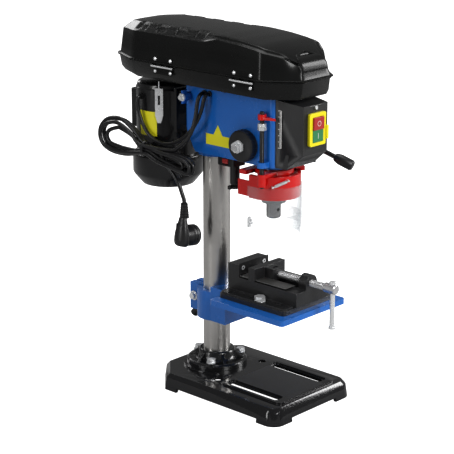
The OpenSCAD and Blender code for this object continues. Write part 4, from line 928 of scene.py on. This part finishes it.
leaf_high = node_box("pan_hinge_leaves")[1]
HINGE_Z = leaf_high[2] - 2.4
HINGE_X = -78.0
HINGE_Y = (49.0, -127.0)
RIVET_HALF = 17.5


def rivet_heads(rise):
    """Four domed heads on one leaf row, at rise above the hinge's axis."""
    dome = [(0, -0.4), (3.1, -0.4), (3.1, 0.5), (2.7, 1.3), (1.7, 2.0), (0, 2.3)]
    return joined([revolved(dome, [-76.1, y + s * RIVET_HALF, HINGE_Z + rise], [-1, 0, 0], 24)
                   for y in HINGE_Y for s in (-1, 1)])


def hinge_pins():
    """A pin through each hinge's knuckles, a little longer than they are."""
    return joined([plain_bar([HINGE_X - 1.2, y - 24.5, HINGE_Z], [0, 1, 0], 49, 1.6, 0.5, 20)
                   for y in HINGE_Y])


# %% [markdown]
# ## Screw threads
# A thread is a cylinder whose radius rises and falls once per turn along its length. On a grid of rows
# along the bar and columns round it, the radius depends on row minus column, which is what makes the ridge
# climb.

# %% Threads
def threaded_bar(place, axis, length, radius, pitch, depth, n=28, per_turn=6):
    """r = radius - depth * wave(h / pitch - t / 2pi), closed by a flat cap at each end."""
    rows = int(length / pitch * per_turn)
    h = np.linspace(0, length, rows)
    t = np.linspace(0, 2 * math.pi, n, endpoint=False)
    phase = (h[:, None] / pitch - t[None] / (2 * math.pi)) % 1.0
    wave = np.abs(phase - 0.5) * 2
    fade = np.clip(np.minimum(h, length - h) / pitch, 0, 1)[:, None]
    r = radius - depth * (1 - wave * fade)
    r = np.concatenate([np.zeros((1, n)), r, np.zeros((1, n))])
    h = np.concatenate([[0.0], h, [length]])
    u, v, w = basis(axis)
    ring = np.outer(np.cos(t), u) + np.outer(np.sin(t), v)
    points = np.asarray(place, float) + h[:, None, None] * w + r[..., None] * ring[None]
    return points.reshape(-1, 3), grid_faces(len(h), n, True).tolist()


def plain_bar(place, axis, length, radius, chamfer=0.6, n=40):
    """A turned bar with a small chamfer at each end."""
    profile = [(0, 0), (radius - chamfer, 0), (radius, chamfer), (radius, length - chamfer),
               (radius - chamfer, length), (0, length)]
    return revolved(profile, place, axis, n)


shape("lid_rivets", rivet_heads(11.5), "lid", "zinc")
shape("pan_rivets", rivet_heads(-8.4), "frame", "zinc")
shape("hinge_pins", hinge_pins(), "frame", "zinc")
screw_low, screw_high = node_box("vise_screw")
screw_z = (screw_low[2] + screw_high[2]) / 2
head_len = 24.0
thread_start = screw_low[1] + head_len
screw_parts = [
    threaded_bar([0, thread_start - 0.5, screw_z], [0, 1, 0], screw_high[1] - thread_start - 13,
                 6.0, 2.0, 0.9),
    plain_bar([0, screw_high[1] - 14, screw_z], [0, 1, 0], 8.6, 4.9, 0.3),
    plain_bar([0, screw_high[1] - 5.6, screw_z], [0, 1, 0], 4.2, 6.0, 0.5),
    plain_bar([0, screw_low[1], screw_z], [0, 1, 0], head_len, 8.0, 1.4),
]
shape("vise_screw_thread", joined(screw_parts), "vise_screw", "steel", replaces=["vise_screw"])
rod_low, rod_high = node_box("depth_rod")
rod_x, rod_y = (rod_low[0] + rod_high[0]) / 2, (rod_low[1] + rod_high[1]) / 2
rod = threaded_bar([rod_x, rod_y, rod_low[2]], [0, 0, 1], rod_high[2] - rod_low[2], 4.0, 1.5, 0.45, 24, 5)
shape("depth_rod_thread", rod, "quill", "plastic_black", replaces=["depth_rod"])
print("threads done")

# %% [markdown]
# ## The belt
# A V-belt is a loop round two pulleys: two half circles and two straight runs, with a section that is wider
# outside than inside.

# %% The belt
belt_low, belt_high = node_box("drive_belt")


def belt_surface():
    """A stadium loop of radius R about two centres, swept with a five-point V section."""
    centre_z = (belt_low[2] + belt_high[2]) / 2
    outer = (belt_high[0] - belt_low[0]) / 2
    front, back = belt_low[1] + outer, belt_high[1] - outer
    t = np.linspace(0, math.pi, 40)
    loop = np.concatenate([
        np.column_stack([np.cos(t), np.sin(t), np.full_like(t, back)]),
        np.column_stack([-np.cos(t), -np.sin(t), np.full_like(t, front)])])
    section = [(0, -3.8), (0, 3.8), (-1.2, 3.7), (-5.6, 1.9), (-5.6, -1.9), (-1.2, -3.7), (0, -3.8)]
    rings = [np.column_stack([(outer + dr) * loop[:, 0], loop[:, 2] + (outer + dr) * loop[:, 1],
                              np.full(len(loop), centre_z + dz)]) for dr, dz in section]
    return np.concatenate(rings), grid_faces(len(section), len(loop), True).tolist()


belt = shape("belt_loop", belt_surface(), "frame", "rubber_black", replaces=["drive_belt"])
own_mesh(belt)

# %% [markdown]
# ## Small things that a drill press has
# A depth scale beside the pointer, steel jaw plates with their screws, the bright guides in the vise's bed,
# and two blank yellow plates where a maker would put notices. The jaws close to half a millimetre, so their
# plates and screws stand out of them by less than half of that.

# %% Depth scale
def scale_marks():
    """A rule and a mark each 2 mm, longer at each 10 mm, standing just proud of the housing."""
    marks = [box_part([-0.15, -3.4, 0.0], [0.08, -2.6, 60.0])]
    for k in range(31):
        reach = 2.6 if k % 5 == 0 else 0.2
        marks.append(box_part([-0.15, -3.4, 2 * k - 0.36], [0.08, reach, 2 * k + 0.36]))
    return joined(marks)


def on_flank(part):
    """Turns a part about Z to lie on the housing's flank, and moves it to the scale's place."""
    points, faces = part
    lean = math.radians(11.8)
    turn = np.array([[math.cos(lean), -math.sin(lean), 0], [math.sin(lean), math.cos(lean), 0], [0, 0, 1]])
    flank = np.array([-38.6, -173.0, 447.0])
    return np.asarray(points) @ turn.T + flank, faces


white = finish("scale_white", (0.92, 0.92, 0.90), 0.4, 0.08, PEEL, 500.0, 0.00005, fleck=(0.86, 0.86, 0.84))
shape("depth_scale_marks", on_flank(scale_marks()), "frame", "housing_black", white)


# %% Vise jaw plates, their screws and the guide
def jaw_plate(face, out, top):
    """A flat steel plate, nearly as long as the jaws. out is -1 or 1, the way that the jaw faces."""
    ends = sorted([face - out * 0.01, face + out * PLATE_OUT])
    return box_part([-36, ends[0], bed_top + 1.5], [36, ends[1], top])


def jaw_screws(face, out):
    """Two round heads with a small well in the middle, 52 mm apart, set into a jaw's face."""
    head = [(0, 0), (4.2, 0), (4.2, 0.7), (3.7, HEAD_RISE), (1.7, HEAD_RISE), (1.7, 0.4), (0, 0.4)]
    y = face - out * (HEAD_RISE - SCREW_OUT)
    return joined([revolved(head, [s * 26, y, bed_top + 11.5], [0, out, 0], 24) for s in (-1, 1)])


PLATE_OUT = 0.2
SCREW_OUT = 0.24
JAW_DEPTH = 21
FIXED_JAW_THICK = 24
HEAD_RISE = 1.2
bed_high = node_box("vise_base")[1]
jaw_high = node_box("vise_jaw")[1]
bed_top = bed_high[2] - JAW_DEPTH
# The plate's paler edge tone is wear and a painted highlight.
plate_steel = finish("jaw_plate_steel", (0.05, 0.05, 0.052), 0.34, 0.12, GROUND_ALONG_X, 900.0, 0.0002,
                     metal=0.6, fleck=(0.035, 0.035, 0.036), edge=0.6, edge_color=(0.3, 0.3, 0.31))
for name, face, out, top, body in (
        ("fixed", bed_high[1] - FIXED_JAW_THICK, -1, bed_high[2] - 0.5, "table"),
        ("moving", jaw_high[1], 1, jaw_high[2] - 1.0, "vise_jaw")):
    shape(name + "_jaw_plate", jaw_plate(face, out, top), body, "vise_black", plate_steel)
    shape(name + "_jaw_screws", jaw_screws(face, out), body, "zinc")
guide_steel = finish("guide_steel", (0.33, 0.33, 0.32), 0.38, 0.14, GROUND_ALONG_Y, 900.0, 0.0002, metal=0.9,
                     fleck=(0.22, 0.22, 0.215), cloud=40.0)
guides = joined([box_part([s * 24 - 12, -187, bed_top - 0.6], [s * 24 + 12, -86.5, bed_top + 0.16])
                 for s in (-1, 1)])
shape("bed_guides", guides, "table", "steel", guide_steel)


# %% The base's satin panel
# The panel's paler edge tone is wear and a painted highlight.
satin = finish("satin_panel", (0.030, 0.030, 0.031), 0.40, 0.08, CAST_SKIN, 500.0, 0.0002,
               fleck=(0.040, 0.040, 0.041), edge=0.3, edge_color=(0.08, 0.08, 0.08))
shape("base_panel_face", box_part([-44, -204, 31.6], [44, -82, 32.12]), "frame", "black_gloss", satin)

# %% The tension knob's stud and the buttons' marks
knob_low, knob_high = node_box("tension_knob")
knob = (knob_low + knob_high) / 2
stud_nut = [(0, -1), (7.2, -1), (7.2, 1.5), (6.4, 2.2), (0, 2.2)]
shape("tension_stud", joined([
    revolved(stud_nut, [knob_low[0], knob[1], knob[2]], [-1, 0, 0], 6),
    plain_bar([knob_low[0] + 1, knob[1], knob[2]], [-1, 0, 0], 7.5, 3.6, 0.6, 24)]), "tension_knob", "zinc")


def raised_ring(place, axis, r_in, r_out, lift):
    """A flat ring standing lift above a face."""
    return revolved([(r_in, -0.3), (r_in, lift), (r_out, lift), (r_out, -0.3), (r_in, -0.3)], place, axis, 40)


stop_low, stop_high = node_box("stop_button")
start_low, start_high = node_box("start_button")
stop_mid, start_mid = (stop_low + stop_high) / 2, (start_low + start_high) / 2
mark_white = finish("mark_white", (0.62, 0.60, 0.58), 0.4, 0.06, PEEL, 500.0, 0.00004,
                    fleck=(0.55, 0.53, 0.51))
stop_ring = raised_ring([stop_mid[0], stop_low[1], stop_mid[2]], [0, -1, 0], 3.4, 4.4, 0.15)
start_bar = box_part([start_mid[0] - 0.6, start_low[1] - 0.15, start_mid[2] - 4.6],
                     [start_mid[0] + 0.6, start_low[1] + 0.3, start_mid[2] + 4.6])
shape("stop_mark", stop_ring, "stop_button", "stop_red", mark_white)
shape("start_mark", start_bar, "start_button", "start_green", mark_white)


# %% Blank notice plates
yellow = finish("notice_yellow", (0.83, 0.78, 0.02), 0.38, 0.06, PEEL, 500.0, 0.00004,
                fleck=(0.76, 0.70, 0.02))
flank_x = -42.0
warning_shape = [
    [-68, 429.5], [-16, 429.5], [-16, 447.5], [-33, 447.5], [-43, 464.5], [-53, 447.5], [-68, 447.5]]


def head_notice():
    """A thin plate cut to a strip with a triangle standing on it."""
    front = [[flank_x - 0.3, y, z] for y, z in warning_shape]
    back = [[flank_x + 0.05, y, z] for y, z in warning_shape]
    n = len(front)
    sides = [[i, (i + 1) % n, n + (i + 1) % n, n + i] for i in range(n)]
    flat = [[0, 1, 2, 3, 5, 6], [3, 4, 5]]
    return front + back, flat + [[n + v for v in f] for f in flat] + sides


shape("head_notice", head_notice(), "frame", "switch_yellow", yellow)


def motor_notice():
    """A strip bent round the motor: columns follow its curve from 167 to 205 degrees."""
    low_m, high_m = node_box("motor_end_cap")
    centre = np.array([0.0, (low_m[1] + high_m[1]) / 2, 0.0])
    t = np.radians(np.linspace(167, 205, 14))
    rings = []
    for r, z in ((54.02, 425), (54.4, 425), (54.4, 467), (54.02, 467), (54.02, 425)):
        rings.append(np.column_stack([r * np.cos(t), centre[1] + r * np.sin(t), np.full_like(t, z)]))
    return np.concatenate(rings), grid_faces(5, len(t), False).tolist()


shape("motor_notice", motor_notice(), "motor", "switch_yellow", yellow)
print("small pieces done")


# %% [markdown]
# ## The floor
# A plain pale sheet, wide enough that its far edge is out of every view.

# %% Floor
def floor_sheet():
    """A square of 24 m at the height of the feet."""
    reach = 12000.0
    corners = [[x * reach, y * reach, -0.2] for x, y in ((-1, -1), (1, -1), (1, 1), (-1, 1))]
    return corners, [[0, 1, 2, 3]]


floor_mesh = make_mesh("floor", *floor_sheet(), closed=False)


def floor_finish():
    """White to the camera with a soft shadow, and a dimmer grey to everything that reflects it."""
    paint = bpy.data.materials.new("pale_floor")
    paint.use_nodes = True
    tree = paint.node_tree
    shader = tree.nodes["Principled BSDF"]
    shader.inputs["Base Color"].default_value = (0.4, 0.4, 0.4, 1.0)
    shader.inputs["Roughness"].default_value = 0.8
    shader.inputs["Specular IOR Level"].default_value = 0.0
    shader.inputs["Emission Color"].default_value = (1.0, 1.0, 1.0, 1.0)
    path = tree.nodes.new("ShaderNodeLightPath")
    glow = add(tree, "ShaderNodeMath", [(path.outputs["Is Camera Ray"], 0)], operation="MULTIPLY")
    glow.inputs[1].default_value = 0.84
    tree.links.new(glow.outputs[0], shader.inputs["Emission Strength"])
    return paint


floor_mesh.materials.append(floor_finish())
floor = bpy.data.objects.new("floor", floor_mesh)
scene.collection.objects.link(floor)

# %% [markdown]
# ## The end
# The script ends by counting the pieces that it made.

# %% The end
print("pieces made:", len(made))
